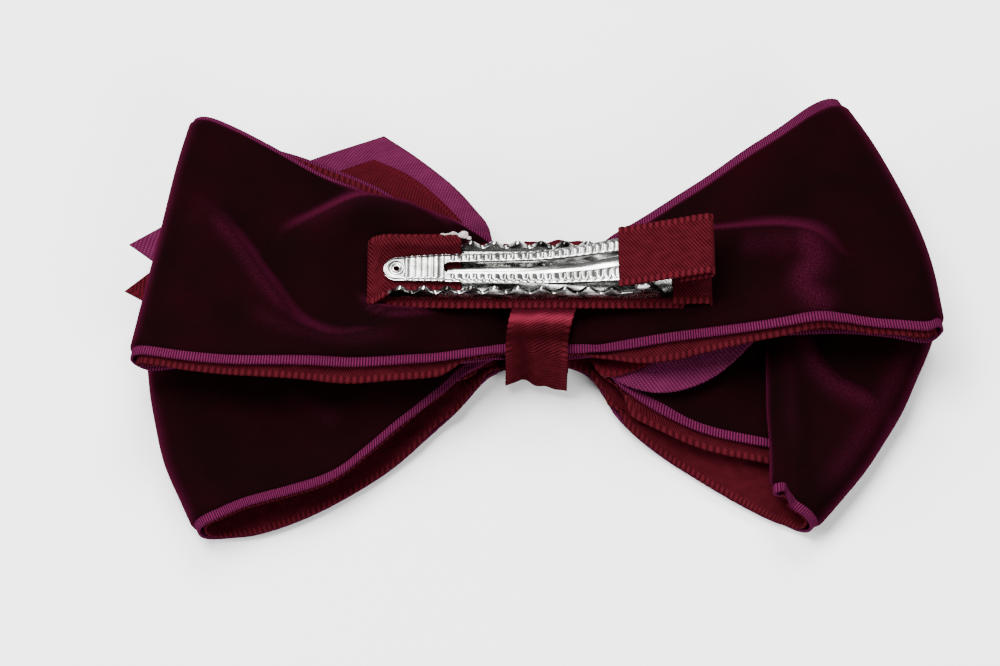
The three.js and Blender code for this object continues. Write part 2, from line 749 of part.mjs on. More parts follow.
function leverRibbon() {
  const stand = LEVER_THICK / 2 + GAP + NARROW_THICK / 2;
  const normalAt = (x) => {
    const slope = (leverZ(x + 0.1) - leverZ(x - 0.1)) / 0.2;
    return new THREE.Vector2(-slope, 1).normalize();
  };
  const beside = (x, distance) => {
    const n = normalAt(x);
    return [x + n.x * distance, leverZ(x) + n.y * distance];
  };
  const end = LEVER_RIGHT + GAP / 2;
  const endNormal = normalAt(LEVER_RIGHT - 0.2);
  const round = [50, 0, -50].map(THREE.MathUtils.degToRad).map((angle) => [
    end + stand * (endNormal.y * Math.cos(angle) + endNormal.x * Math.sin(angle)),
    leverZ(LEVER_RIGHT) + stand * (-endNormal.x * Math.cos(angle) + endNormal.y * Math.sin(angle)),
  ]);
  const points = [
    ...[COVER_FROM, 14, 17, 20, 23.2].map((x) => beside(x, stand)),
    ...round,
    ...[23.2, 21.6, 20].map((x) => beside(x, -stand)),
  ];
  return stripAlong(points, () => NARROW_RIBBON, NARROW_THICK, (points.length - 1) * 2);
}

// ---------------------------------------------------------------- assembly

const FINISH = {
  velvet: { color: 0x2a0614, roughness: 0.95, metalness: 0 },
  satin: { color: 0x7c1430, roughness: 0.45, metalness: 0 },
  plum: { color: 0x7d2a63, roughness: 0.7, metalness: 0 },
  steel: { color: 0xd4d6d4, roughness: 0.22, metalness: 1 },
  thread: { color: 0x4a0d20, roughness: 0.8, metalness: 0 },
  glue: { color: 0xe9e2d2, roughness: 0.35, metalness: 0 },
};

const barrette = new THREE.Group();
barrette.position.set(SHIFT_X, SHIFT_Y, 0);

function addPiece(name, geometry, finish) {
  const mesh = new THREE.Mesh(geometry, new THREE.MeshStandardMaterial(FINISH[finish]));
  mesh.name = name;
  barrette.add(mesh);
}

const upperBow = upperBowStations();
const lowerBow = lowerBowStations();

addPiece('upper_bow_velvet', velvetStrip(upperBow), 'velvet');
addPiece('upper_bow_lining', liningStrip(upperBow, 1, UPPER_LINING_DROP), 'satin');
addPiece('lower_bow_velvet', velvetStrip(lowerBow), 'velvet');
addPiece('lower_bow_lining', liningStrip(lowerBow, -1, LOWER_LINING_DROP, FLAP_LINING_REACH), 'satin');
addPiece('plum_tail_ribbon', tail('plumTail', PLUM_TAIL_PLAN, GROSGRAIN), 'plum');
addPiece('red_tail_ribbon', tail('redTail', RED_TAIL_PLAN, GROSGRAIN), 'satin');
addPiece('centre_band', centreBand(), 'satin');
addPiece('binding_thread', bindingThread(), 'thread');
addPiece('glue_pad', gluePad(), 'glue');
addPiece('clip_base', clipBase(), 'steel');
addPiece('clip_lever', clipLever(), 'steel');
addPiece('hinge_pin', hingePin(), 'steel');
addPiece('lever_spring', leverSpring(), 'steel');
addPiece('base_ribbon', baseRibbon(), 'satin');
addPiece('lever_ribbon', leverRibbon(), 'satin');

export default barrette;
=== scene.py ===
"""Barrette: a double bow of velvet ribbon on a sprung clip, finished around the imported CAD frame.

Shapes are worked out in millimetres in the bow's own layout, which has the same axes as the frame,
and are moved into the frame in metres when their mesh is made.
"""
import math

import bmesh
import bpy
import numpy as np
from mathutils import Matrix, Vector


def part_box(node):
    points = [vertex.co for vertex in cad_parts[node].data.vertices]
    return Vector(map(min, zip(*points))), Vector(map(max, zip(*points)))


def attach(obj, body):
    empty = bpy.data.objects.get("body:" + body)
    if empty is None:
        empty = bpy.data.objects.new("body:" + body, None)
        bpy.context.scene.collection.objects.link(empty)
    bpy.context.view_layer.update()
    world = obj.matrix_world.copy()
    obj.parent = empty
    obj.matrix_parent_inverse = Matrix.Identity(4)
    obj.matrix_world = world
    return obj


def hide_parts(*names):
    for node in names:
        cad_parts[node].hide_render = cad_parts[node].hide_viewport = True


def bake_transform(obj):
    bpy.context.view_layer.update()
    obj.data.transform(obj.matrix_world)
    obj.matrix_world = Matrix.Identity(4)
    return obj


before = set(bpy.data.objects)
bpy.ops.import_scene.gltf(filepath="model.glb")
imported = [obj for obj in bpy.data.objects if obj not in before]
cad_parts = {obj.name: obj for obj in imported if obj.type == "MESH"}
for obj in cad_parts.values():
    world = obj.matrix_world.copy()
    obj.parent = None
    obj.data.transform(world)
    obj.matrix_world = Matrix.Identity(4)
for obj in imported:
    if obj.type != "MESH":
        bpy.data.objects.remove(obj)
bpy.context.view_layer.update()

MM = 0.001


# ------------------------------------------------------------------ driving dimensions, mm

def span(node):
    """A CAD node's lowest and highest corners, in millimetres, in the frame."""
    low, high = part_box(node)
    return np.array(low) / MM, np.array(high) / MM


BAND_LOW, BAND_HIGH = span("centre_band")
BASE_LOW, BASE_HIGH = span("clip_base")
PIN_LOW, PIN_HIGH = span("hinge_pin")

# The layout's origin seen from the frame: the knot stands at x 1.1 and the clip's line at y 2.5.
KNOT_X = 1.1
CLIP_Y = 2.5
SHIFT = np.array([
    (BAND_LOW[0] + BAND_HIGH[0]) / 2 - KNOT_X,
    (BASE_LOW[1] + BASE_HIGH[1]) / 2 - CLIP_Y,
    0.0,
])

# The pinched stretch: half its length along x, and the heights in y that the band holds it to.
KNOT_HALF = 5.6
PINCH_TOP = 8.0
PINCH_BOTTOM = -6.9
SELVAGE = 1.25

# Thickness of the cloths: distances of a face and a back from the middle surface of the ribbon.
PILE_AT_SELVAGE, PILE_DEPTH, VELVET_BACK = 0.14, 0.40, -0.22
LINING_FACE, LINING_BACK = -0.85, -1.15
TAIL_HALF = 0.16
SATIN_HALF = 0.12

PLATE = 0.5
FLOOR_TOP = BASE_LOW[2] + PLATE
JAW_WIDTH = BASE_HIGH[1] - BASE_LOW[1]
PIN = np.array([(PIN_LOW[0] + PIN_HIGH[0]) / 2 - SHIFT[0], CLIP_Y, (PIN_LOW[2] + PIN_HIGH[2]) / 2])

# Middle heights of the layers at the knot, and how far each has risen where it is fully spread.
LEVEL = {
    "lowerFront": 3.6, "lowerBack": 6.1, "plumTail": 7.1, "redTail": 7.8,
    "upperFront": 8.8, "upperBack": 11.3,
}
RISE = {
    "lowerFront": 0.5 - 3.6, "lowerBack": 1.2, "plumTail": 1.35, "redTail": 1.45,
    "upperFront": 1.55,
}
SPREAD_AT = 20.0


def layer_z(name, x):
    """Height of a spreading layer at x, levelling off smoothly on both sides of the knot."""
    out = (abs(x - KNOT_X) - KNOT_HALF) / (SPREAD_AT - KNOT_HALF)
    s = min(max(out, 0.0), 1.0)
    return LEVEL[name] + RISE[name] * s * s * (3 - 2 * s)


# ------------------------------------------------------------------ camera, floor and light

def place_camera():
    """Looks at the clip's side of the bow from 63 degrees above the table, half a metre away."""
    elevation = math.radians(63)
    distance = 0.5
    target = Vector((-0.00495, -0.0050, 0.0120))
    data = bpy.data.cameras.new("camera")
    data.sensor_width = 36
    data.lens = 127.7
    camera = bpy.data.objects.new("camera", data)
    bpy.context.scene.collection.objects.link(camera)
    back = Vector((0, -math.cos(elevation), math.sin(elevation)))
    camera.location = target + back * distance
    camera.rotation_euler = (math.radians(90) - elevation, 0, 0)
    bpy.context.scene.camera = camera


# Round soft lamps, all aimed at the object: name, place in metres, width in metres, watts.
LAMPS = [
    ("key", (-0.25, 0.10, 0.85), 0.5, 20.0),
    ("back", (0.10, 0.50, 0.70), 0.4, 9.0),
    ("fill", (0.35, -0.55, 0.50), 0.4, 7.0),
    ("side", (-0.65, -0.15, 0.35), 0.3, 5.0),
]


def area_light(name, location, size, power):
    data = bpy.data.lights.new(name, "AREA")
    data.shape = "DISK"
    data.size = size
    data.energy = power
    lamp = bpy.data.objects.new(name, data)
    lamp.location = location
    aim = Vector((0, 0, 0.01)) - Vector(location)
    lamp.rotation_euler = aim.to_track_quat("-Z", "Y").to_euler()
    bpy.context.scene.collection.objects.link(lamp)


def place_stage():
    """A matt white floor just under the object, a dim white surround and the lamps."""
    half, top = 1.5, -0.0002
    mesh = bpy.data.meshes.new("floor")
    corners = [(x, y, top) for x, y in ((-half, -half), (half, -half), (half, half), (-half, half))]
    mesh.from_pydata(corners, [], [(0, 1, 2, 3)])
    floor = bpy.data.objects.new("floor", mesh)
    bpy.context.scene.collection.objects.link(floor)
    material = bpy.data.materials.new("paper")
    material.use_nodes = True
    shader = material.node_tree.nodes["Principled BSDF"]
    shader.inputs["Base Color"].default_value = (0.93, 0.93, 0.93, 1)
    shader.inputs["Roughness"].default_value = 0.9
    mesh.materials.append(material)
    world = bpy.data.worlds.new("studio")
    world.use_nodes = True
    background = world.node_tree.nodes["Background"]
    background.inputs["Color"].default_value = (1, 1, 1, 1)
    background.inputs["Strength"].default_value = 0.24
    bpy.context.scene.world = world
    for lamp in LAMPS:
        area_light(*lamp)


place_camera()
place_stage()


# ------------------------------------------------------------------ node materials

class Nodes:
    """Short ways to add nodes to one material."""

    def __init__(self, name):
        self.material = bpy.data.materials.new(name)
        self.material.use_nodes = True
        self.tree = self.material.node_tree
        self.shader = self.tree.nodes["Principled BSDF"]

    def add(self, kind, **settings):
        node = self.tree.nodes.new(kind)
        for key, value in settings.items():
            setattr(node, key, value)
        return node

    def link(self, source, target):
        self.tree.links.new(source, target)

    def feed(self, socket, value):
        if hasattr(value, "is_output"):
            self.link(value, socket)
        else:
            socket.default_value = value

    def math(self, operation, a, b=0.0, c=0.0):
        node = self.add("ShaderNodeMath", operation=operation)
        for socket, value in zip(node.inputs, (a, b, c)):
            self.feed(socket, value)
        return node.outputs[0]

    def scaled(self, value, scale, offset):
        """Value times scale, plus offset."""
        return self.math("MULTIPLY_ADD", value, scale, offset)

    def wave(self, value, period):
        """A sine of value with that period, from 0 to 1."""
        angle = self.math("MULTIPLY", value, 2 * math.pi / period)
        return self.scaled(self.math("SINE", angle), 0.5, 0.5)

    def cloth(self):
        """Distances in mm along and across the ribbon and from its nearer selvage, then all three
        as one vector."""
        node = self.add("ShaderNodeAttribute", attribute_name="cloth")
        split = self.add("ShaderNodeSeparateXYZ")
        self.link(node.outputs["Vector"], split.inputs[0])
        return split.outputs[0], split.outputs[1], split.outputs[2], node.outputs["Vector"]

    def attribute(self, name):
        return self.add("ShaderNodeAttribute", attribute_name=name).outputs["Fac"]

    def noise(self, vector, scale, detail):
        """Noise from 0 to 1, with its own scale along each axis."""
        mapping = self.add("ShaderNodeMapping")
        mapping.inputs["Scale"].default_value = scale
        self.link(vector, mapping.inputs["Vector"])
        node = self.add("ShaderNodeTexNoise")
        node.inputs["Scale"].default_value = 1.0
        node.inputs["Detail"].default_value = detail
        self.link(mapping.outputs["Vector"], node.inputs["Vector"])
        return node.outputs["Fac"]

    def place(self):
        return self.add("ShaderNodeTexCoord").outputs["Object"]

    def blend(self, share, low, high):
        """A colour from low to high as share goes from 0 to 1."""
        node = self.add("ShaderNodeMix", data_type="RGBA")
        self.feed(node.inputs[0], share)
        for socket, colour in ((node.inputs[6], low), (node.inputs[7], high)):
            self.feed(socket, colour if hasattr(colour, "is_output") else (*colour, 1))
        return node.outputs[2]

    def ramp(self, value, low, high):
        node = self.add("ShaderNodeMapRange", interpolation_type="SMOOTHSTEP")
        self.feed(node.inputs[0], value)
        node.inputs[1].default_value = low
        node.inputs[2].default_value = high
        return node.outputs[0]

    def bump(self, height, distance_mm, strength):
        node = self.add("ShaderNodeBump")
        node.inputs["Distance"].default_value = distance_mm * MM
        node.inputs["Strength"].default_value = strength
        self.link(height, node.inputs["Height"])
        self.link(node.outputs["Normal"], self.shader.inputs["Normal"])

    def set(self, **values):
        """Sets or links the shader's sockets, named with _ for a space."""
        for key, value in values.items():
            self.feed(self.shader.inputs[key.replace("_", " ")], value)


def velvet_pile():
    """Cut pile: nearly black where it faces the eye, with a painted crimson and magenta sheen where it
    turns away and along the strokes of painted sheen that its attribute gives."""
    n = Nodes("velvet_pile")
    along, _, _, flat = n.cloth()
    rows = n.wave(along, 0.31)
    tufts = n.noise(flat, (3.2, 6.0, 0), 3.0)
    specks = n.noise(flat, (9.0, 9.0, 0), 2.0)
    crush = n.noise(flat, (0.085, 0.11, 0), 3.0)
    nap = n.scaled(rows, 0.12, n.math("MULTIPLY", tufts, 0.9))
    deep = n.blend(n.ramp(crush, 0.30, 0.75), (0.0024, 0.0009, 0.0010), (0.0048, 0.0008, 0.0012))
    lit = n.blend(n.ramp(nap, 0.3, 0.95), (0.020, 0.0014, 0.005), (0.066, 0.0052, 0.027))
    # Painted sheen: the colour goes from deep to lit as the surface turns away from the eye, and along
    # the painted sheen strokes.
    turned = n.add("ShaderNodeLayerWeight")
    turned.inputs["Blend"].default_value = 0.5
    painted_sheen_share = n.attribute("painted_sheen")
    ragged = n.math("MULTIPLY", painted_sheen_share, n.scaled(tufts, 1.7, 0.15))
    share = n.math("MAXIMUM", n.ramp(turned.outputs["Facing"], 0.20, 0.92), ragged)
    shade = n.blend(share, deep, lit)
    shade = n.blend(n.math("MULTIPLY", n.ramp(specks, 0.48, 0.72), 0.55), shade,
                    (0.0105, 0.0012, 0.0026))
    n.set(Base_Color=shade, Roughness=0.95, Specular_IOR_Level=0.0)
    n.set(Sheen_Weight=0.03, Sheen_Roughness=0.25, Sheen_Tint=(0.55, 0.045, 0.22, 1))
    n.bump(nap, 0.12, 0.6)
    return n.material


def velvet_selvage():
    """The woven edge beside the pile: magenta cord with close ribs across it."""
    n = Nodes("velvet_selvage")
    along, _, _, flat = n.cloth()
    ribs = n.wave(along, 0.37)
    fray = n.noise(flat, (3.0, 3.0, 0), 2.0)
    height = n.scaled(fray, 0.6, ribs)
    colour = n.blend(n.ramp(height, 0.1, 1.4), (0.010, 0.0008, 0.0036), (0.078, 0.0082, 0.036))
    n.set(Base_Color=colour, Roughness=0.7, Specular_IOR_Level=0.0)
    n.bump(height, 0.14, 0.8)
    return n.material


def satin(name, dark, light, roughness, twill, gloss):
    """Satin: fine diagonal floats a twill apart in mm, and a row of stitches at each selvage. Where
    the cloth has a painted-highlight attribute, values above 0 paint a highlight on its floats and
    values below 0 paint shade."""
    n = Nodes(name)
    along, across, edge, flat = n.cloth()
    slanted = n.scaled(across, 0.75, along)
    floats = n.wave(slanted, twill)
    yarns = n.wave(n.scaled(along, -0.45, across), twill * 0.52)
    weave = n.scaled(yarns, 0.55, floats)
    cloud = n.noise(flat, (0.5, 0.9, 0), 3.0)
    share = n.scaled(cloud, 0.35, n.math("MULTIPLY", weave, 0.38))
    colour = n.blend(n.ramp(share, 0.15, 0.95), dark, light)
    rim = n.math("SUBTRACT", 1.0, n.ramp(edge, 0.75, 1.05))
    picot = n.math("MULTIPLY", rim, n.wave(along, 0.9))
    colour = n.blend(n.math("MULTIPLY", rim, 0.45), colour, dark)
    colour = n.blend(n.math("MULTIPLY", picot, 0.7), colour, light)
    weave = n.scaled(picot, 1.6, weave)
    # Painted highlight where the attribute is above 0, painted shade where it is below 0.
    painted_gleam = n.attribute("painted_gleam")
    floated = n.math("MULTIPLY", painted_gleam, n.scaled(floats, 0.5, 0.5))
    colour = n.blend(floated, colour, (0.175, 0.0150, 0.0330))
    colour = n.blend(n.math("MULTIPLY", painted_gleam, -1.0), colour, dark)
    n.set(Base_Color=colour, Roughness=roughness)
    n.set(Specular_IOR_Level=gloss, Specular_Tint=(1.0, 0.30, 0.40, 1))
    n.set(Sheen_Weight=0.01, Sheen_Roughness=0.35, Sheen_Tint=(0.9, 0.20, 0.30, 1))
    n.bump(weave, 0.05, 0.6)
    return n.material


def plum_weave():
    """Matt plain weave with a fine dotted grain on the slant."""
    n = Nodes("plum_weave")
    along, across, _, flat = n.cloth()
    weft = n.wave(n.scaled(across, 0.6, along), 0.48)
    warp = n.wave(n.scaled(along, -0.6, across), 0.40)
    grain = n.math("MULTIPLY", weft, warp)
    cloud = n.noise(flat, (0.4, 0.4, 0), 3.0)
    share = n.scaled(cloud, 0.35, n.math("MULTIPLY", grain, 0.75))
    colour = n.blend(n.ramp(share, 0.1, 0.9), (0.034, 0.0030, 0.014), (0.112, 0.0145, 0.055))
    n.set(Base_Color=colour, Roughness=0.75, Specular_IOR_Level=0.01)
    n.bump(grain, 0.10, 0.8)
    return n.material


def plated_steel(name, roughness, streak, dark, bright):
    """Nickel plate with fine drawing marks, cloudy wear and patches of painted dark reflection along
    its length.
    """
    n = Nodes(name)
    place = n.place()
    marks = n.noise(place, streak, 2.0)
    wear = n.noise(place, (900, 900, 900), 4.0)
    dark_reflection = n.noise(place, (260, 700, 500), 2.0)
    tone = n.blend(n.ramp(wear, 0.3, 0.7), (0.42, 0.42, 0.41), bright)
    # Painted reflection: dark patches that stand in for the dark bow mirrored in the plate.
    tone = n.blend(n.ramp(dark_reflection, 0.40, 0.56), dark, tone)
    rough = n.scaled(marks, 0.10, roughness)
    n.set(Base_Color=tone, Metallic=1.0, Roughness=rough)
    n.bump(n.scaled(marks, 0.5, wear), 0.015, 0.6)
    return n.material


def hot_glue():
    """Set hot-melt glue: cloudy, with a soft gloss."""
    n = Nodes("hot_glue")
    cloud = n.noise(n.place(), (1500, 1500, 1500), 3.0)
    n.set(Base_Color=n.blend(cloud, (0.16, 0.12, 0.12), (0.42, 0.38, 0.37)), Roughness=0.25)
    n.set(Subsurface_Weight=0.3, Subsurface_Scale=0.001)
    n.bump(cloud, 0.12, 0.5)
    return n.material


def sewing_thread():
    """Twisted thread."""
    n = Nodes("sewing_thread")
    along, across, _, _ = n.cloth()
    twist = n.wave(n.scaled(across, 1.6, along), 0.35)
    n.set(Base_Color=n.blend(twist, (0.010, 0.0008, 0.002), (0.045, 0.003, 0.008)), Roughness=0.8)
    n.bump(twist, 0.06, 0.8)
    return n.material


PILE = velvet_pile()
SELVAGE_CORD = velvet_selvage()
LINING = satin("lining_satin", (0.008, 0.0006, 0.0012), (0.054, 0.0056, 0.0094),
               roughness=0.60, twill=0.37, gloss=0.0)
RED_TAIL = satin("red_tail_satin", (0.012, 0.0009, 0.0020), (0.050, 0.0034, 0.0066),
                 roughness=0.55, twill=0.55, gloss=0.02)
BAND_SATIN = satin("band_satin", (0.006, 0.0006, 0.0010), (0.064, 0.0062, 0.0105),
                   roughness=0.40, twill=0.5, gloss=0.0)
PLUM = plum_weave()
STEEL = plated_steel("nickel_plate", 0.20, (250, 6000, 6000), (0.30, 0.30, 0.29),
                     (0.60, 0.60, 0.59))
# A darker copy of the plate for the lower jaw: its near-black patches are painted shade and painted
# reflection of the dark bow.
JAW_STEEL_PAINTED_REFLECTION = plated_steel("jaw_plate_painted_reflection", 0.16, (250, 6000, 6000), (0.035, 0.033, 0.030),
                         (0.50, 0.50, 0.49))
SPRING_STEEL = plated_steel("polished_spring", 0.12, (200, 5000, 5000), (0.30, 0.30, 0.29),
                            (0.50, 0.50, 0.49))
GLUE = hot_glue()
THREAD = sewing_thread()


# ------------------------------------------------------------------ curves and surfaces

def spline(points, samples):
    """Smooth curve through points (n rows of any shape), sampled at parameters from 0 to n - 1."""
    p = np.asarray(points, float)
    n = len(p)
    flat = p.reshape(n, -1, p.shape[-1])
    knots = np.sqrt(np.maximum(np.linalg.norm(np.diff(flat, axis=0), axis=2), 1e-6))
    first = 2 * flat[:1] - flat[1:2]
    last = 2 * flat[-1:] - flat[-2:-1]
    padded = np.concatenate([first, flat, last])
    steps = np.concatenate([knots[:1], knots, knots[-1:]])[..., None]
    k = np.clip(np.floor(samples).astype(int), 0, n - 2)
    s = (samples - k)[:, None, None]
    p0, p1, p2, p3 = (padded[k + j] for j in range(4))
    d0, d1, d2 = (steps[k + j] for j in range(3))
    m1 = ((p1 - p0) / d0 - (p2 - p0) / (d0 + d1) + (p2 - p1) / d1) * d1
    m2 = ((p2 - p1) / d1 - (p3 - p1) / (d1 + d2) + (p3 - p2) / d2) * d1
    out = ((2 * s**3 - 3 * s**2 + 1) * p1 + (s**3 - 2 * s**2 + s) * m1
           + (-2 * s**3 + 3 * s**2) * p2 + (s**3 - s**2) * m2)
    return out.reshape((len(samples),) + p.shape[1:])


def lengths(line):
    """Distance along a polyline at each of its points."""
    return np.concatenate([[0], np.cumsum(np.linalg.norm(np.diff(line, axis=0), axis=1))])


def even_samples(line_of_parameter, count, step):
    """Parameters that put a point every step mm along a curve given on parameters 0 to count - 1."""
    fine = np.linspace(0, count - 1, (count - 1) * 24 + 1)
    run = lengths(line_of_parameter(fine))
    total = int(max(4, round(run[-1] / step)))
    return np.interp(np.linspace(0, run[-1], total + 1), run, fine)


def along_row(row, wanted):
    """Points of one row at distances from its first point; past an end the row runs on straight."""
    run = lengths(row)
    out = np.stack([np.interp(wanted, run, row[:, k]) for k in range(3)], axis=1)
    head = (row[0] - row[1]) / np.linalg.norm(row[0] - row[1])
    tail = (row[-1] - row[-2]) / np.linalg.norm(row[-1] - row[-2])
    before = wanted < 0
    after = wanted > run[-1]
    out[before] = row[0] - wanted[before, None] * head
    out[after] = row[-1] + (wanted[after, None] - run[-1]) * tail
    return out


def grid_normals(grid):
    """Unit normal at each grid point."""
    du = np.gradient(grid, axis=0)
    dv = np.gradient(grid, axis=1)
    normal = np.cross(du, dv)
    return normal / np.maximum(np.linalg.norm(normal, axis=2, keepdims=True), 1e-9)


def flipped(grid):
    """The same grid with its normals the other way."""
    return grid[:, ::-1]


def facing_up(grid, row, column):
    """The grid, turned over where needed so that its normal at one of its points looks up."""
    return flipped(grid) if grid_normals(grid)[row, column, 2] < 0 else grid


def smooth(value, low, high):
    """0 up to low, 1 from high on, and a smooth step between."""
    s = np.clip((value - low) / (high - low), 0, 1)
    return s * s * (3 - 2 * s)


# Columns at each side of a ribbon, in widths of its selvage: the first ones make the selvage.
RIM_SHARES = [0, 0.3, 0.65, 0.92, 1.0, 1.15, 1.5]
RIM_COLUMNS = 4


class Ribbon:
    """A ribbon's middle surface as a grid of points, rows along it and columns across it."""

    def __init__(self, net, step=0.7, columns=44, rims=(SELVAGE, SELVAGE)):
        """net has one row of across-points per station; rims are the widths of the selvages at
        its top and bottom, where either may be set afterwards to one number for each row."""
        net = np.asarray(net, float)
        middle = net[:, net.shape[1] // 2]
        samples = even_samples(lambda t: spline(middle, t), len(net), step)
        rows = spline(net, samples)
        across = np.linspace(0, net.shape[1] - 1, 120)
        self.rows = spline(rows.transpose(1, 0, 2), across).transpose(1, 0, 2)
        self.rims = list(rims)
        self.columns = columns

    def cut(self, inset=0.0, drop=0.0):
        """Grid of a ribbon lying on the same surface, set in at its top and lengthened at its
        bottom. Either may be one number or one for each row."""
        count = len(self.rows)
        fine = np.array(RIM_SHARES)
        rims = [np.broadcast_to(rim, count) for rim in self.rims]
        even = np.linspace(0, 1, self.columns)[1:-1]
        grid = []
        for row, low, extra, top_rim, bottom_rim in zip(
                self.rows, np.broadcast_to(inset, count), np.broadcast_to(drop, count), *rims):
            start = low + fine * top_rim
            end = lengths(row)[-1] + extra - fine[::-1] * bottom_rim
            middle = start[-1] + (end[0] - start[-1]) * even
            grid.append(along_row(row, np.concatenate([start, middle, end])))
        return np.array(grid)


def cloth_attributes(grid):
    """For each grid point: mm along the ribbon, mm across from its middle, mm from a selvage."""
    run = np.concatenate([[0], np.cumsum(np.linalg.norm(
        np.diff(grid[:, grid.shape[1] // 2], axis=0), axis=1))])
    across = from_first(grid)
    whole = across[:, -1:]
    edge = np.minimum(across, whole - across)
    along = np.broadcast_to(run[:, None], across.shape)
    return np.stack([along, across - whole / 2, edge], axis=2)


def from_first(grid):
    """Distance of each grid point from the first column, along its row."""
    widths = np.linalg.norm(np.diff(grid, axis=1), axis=2)
    return np.concatenate([np.zeros((len(grid), 1)), np.cumsum(widths, axis=1)], axis=1)


def mesh_object(name, points_mm, faces, materials, smooth_shaded=True, face_materials=None):
    """A new object from points in the bow's layout, in mm."""
    mesh = bpy.data.meshes.new(name)
    mesh.from_pydata(((points_mm + SHIFT) * MM).tolist(), [], faces)
    mesh.validate()
    for material in materials:
        mesh.materials.append(material)
    if face_materials is not None:
        mesh.polygons.foreach_set("material_index", face_materials)
    if smooth_shaded:
        mesh.shade_smooth()
    piece = bpy.data.objects.new(name, mesh)
    bpy.context.scene.collection.objects.link(piece)
    return piece


def sheet_piece(name, grid, face, back, materials, rim_columns=0):
    """A thin closed piece on a grid: face and back are the distances of its two sides from the
    grid along its normal, as numbers or as grids. The last material covers that many columns
    at each side."""
    rows, columns = grid.shape[:2]
    normal = grid_normals(grid)
    face = np.broadcast_to(face, (rows, columns))[..., None]
    back = np.broadcast_to(back, (rows, columns))[..., None]
    points = np.concatenate([(grid + normal * face).reshape(-1, 3),
                             (grid + normal * back).reshape(-1, 3)])
    size = rows * columns
    index = np.arange(size).reshape(rows, columns)
    a, b = index[:-1, :-1].ravel(), index[1:, :-1].ravel()
    c, d = index[1:, 1:].ravel(), index[:-1, 1:].ravel()
    upper = np.stack([a, b, c, d], axis=1)
    lower = np.stack([a, d, c, b], axis=1) + size

    def wall(line):
        p, q = line[:-1], line[1:]
        return np.stack([q, p, p + size, q + size], axis=1)

    walls = [wall(index[:, 0]), wall(index[::-1, -1]), wall(index[0, ::-1]), wall(index[-1, :])]
    faces = np.concatenate([upper, lower] + walls)
    cloth = cloth_attributes(grid)
    kinds = None
    if rim_columns:
        column = np.concatenate([np.arange(size) % columns] * 2)[faces].mean(axis=1)
        on_rim = (column < rim_columns) | (column > columns - 1 - rim_columns)
        kinds = on_rim.astype(np.int32).tolist()
    piece = mesh_object(name, points, faces.tolist(), materials, face_materials=kinds)
    values = np.concatenate([cloth.reshape(-1, 3)] * 2).astype(np.float32)
    layer = piece.data.attributes.new("cloth", "FLOAT_VECTOR", "POINT")
    layer.data.foreach_set("vector", values.ravel())
    return piece


def stands_for(piece, node, body):
    """Puts a piece on its body and in its CAD node's place."""
    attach(piece, body)
    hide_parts(node)


def point_values(piece, name, values):
    """Gives a sheet piece one number for each point of its grid, the same on both sides."""
    layer = piece.data.attributes.new(name, "FLOAT", "POINT")
    layer.data.foreach_set("value", np.concatenate([values.ravel()] * 2).astype(np.float32))


# ------------------------------------------------------------------ bow ribbons

def cross_section(a, b, bends=()):
    """Five points from the top selvage a to the bottom selvage b. bends moves the three inner
    points in order, each by (dx, dy, dz) or by a lift alone."""
    a, b = np.array(a, float), np.array(b, float)
    row = [a + (b - a) * share for share in (0, 0.25, 0.5, 0.75, 1)]
    for k, bend in enumerate(bends):
        row[k + 1] = row[k + 1] + (bend if np.ndim(bend) else (0, 0, bend))
    return np.array(row)


def bulged(x, y):
    """Bends for a cross-section whose middle stands off by x, y."""
    return [(x * 0.75, y * 0.75, 0), (x, y, 0), (x * 0.75, y * 0.75, 0)]


def turn(start, end):
    """Rows of a loop's turn between two cross-sections, bulging away from the knot."""
    line = (start[-1] - start[0]) * (1, 1, 0)
    line = line / np.linalg.norm(line)
    outward = np.array([line[1], -line[0], 0])
    if outward @ start[2] < 0:
        outward = -outward
    rows = []
    for degrees in (-62, -32, 0, 32, 62):
        angle = math.radians(degrees)
        half = (end[:, 2:] - start[:, 2:]) / 2
        row = (start + end) / 2 + np.abs(half) * math.cos(angle) * outward
        row[:, 2:] += half * math.sin(angle)
        rows.append(row)
    return rows


def on_layer(layer, plan):
    """Cross-sections lying on a spreading layer, from rows of top x, y, bottom x, y, bulge x, y."""
    rows = []
    for ax, ay, bx, by, *bulge in plan:
        bends = bulged(*bulge) if bulge else ()
        row = cross_section((ax, ay, 0), (bx, by, 0), bends)
        row[:, 2] = [layer_z(layer, x) for x in row[:, 0]]
        rows.append(row)
    return rows


LEFT = KNOT_X - KNOT_HALF
RIGHT = KNOT_X + KNOT_HALF

UPPER_LEFT_PLAN = [
    (LEFT, PINCH_TOP, LEFT, -7.4),
    (-13.4, 12.4, -14.6, -9.2),
    (-22.2, 19.2, -25.0, -9.6),
    (-33.0, 24.2, -38.0, -9.4),
    (-42.0, 27.2, -48.0, -9.4),
    (-46.8, 28.4, -54.2, -9.8),
]
UPPER_RIGHT_PLAN = [
    (RIGHT, PINCH_TOP, RIGHT, -7.2),
    (16.6, 13.6, 17.8, -5.8),
    (26.6, 19.9, 29.0, -4.6),
    (35.0, 25.8, 42.0, -4.2),
    (39.6, 29.4, 50.0, -4.6, 1.2, 0.4),
    (41.6, 30.8, 55.2, -5.6, 2.2, 0.8),
]
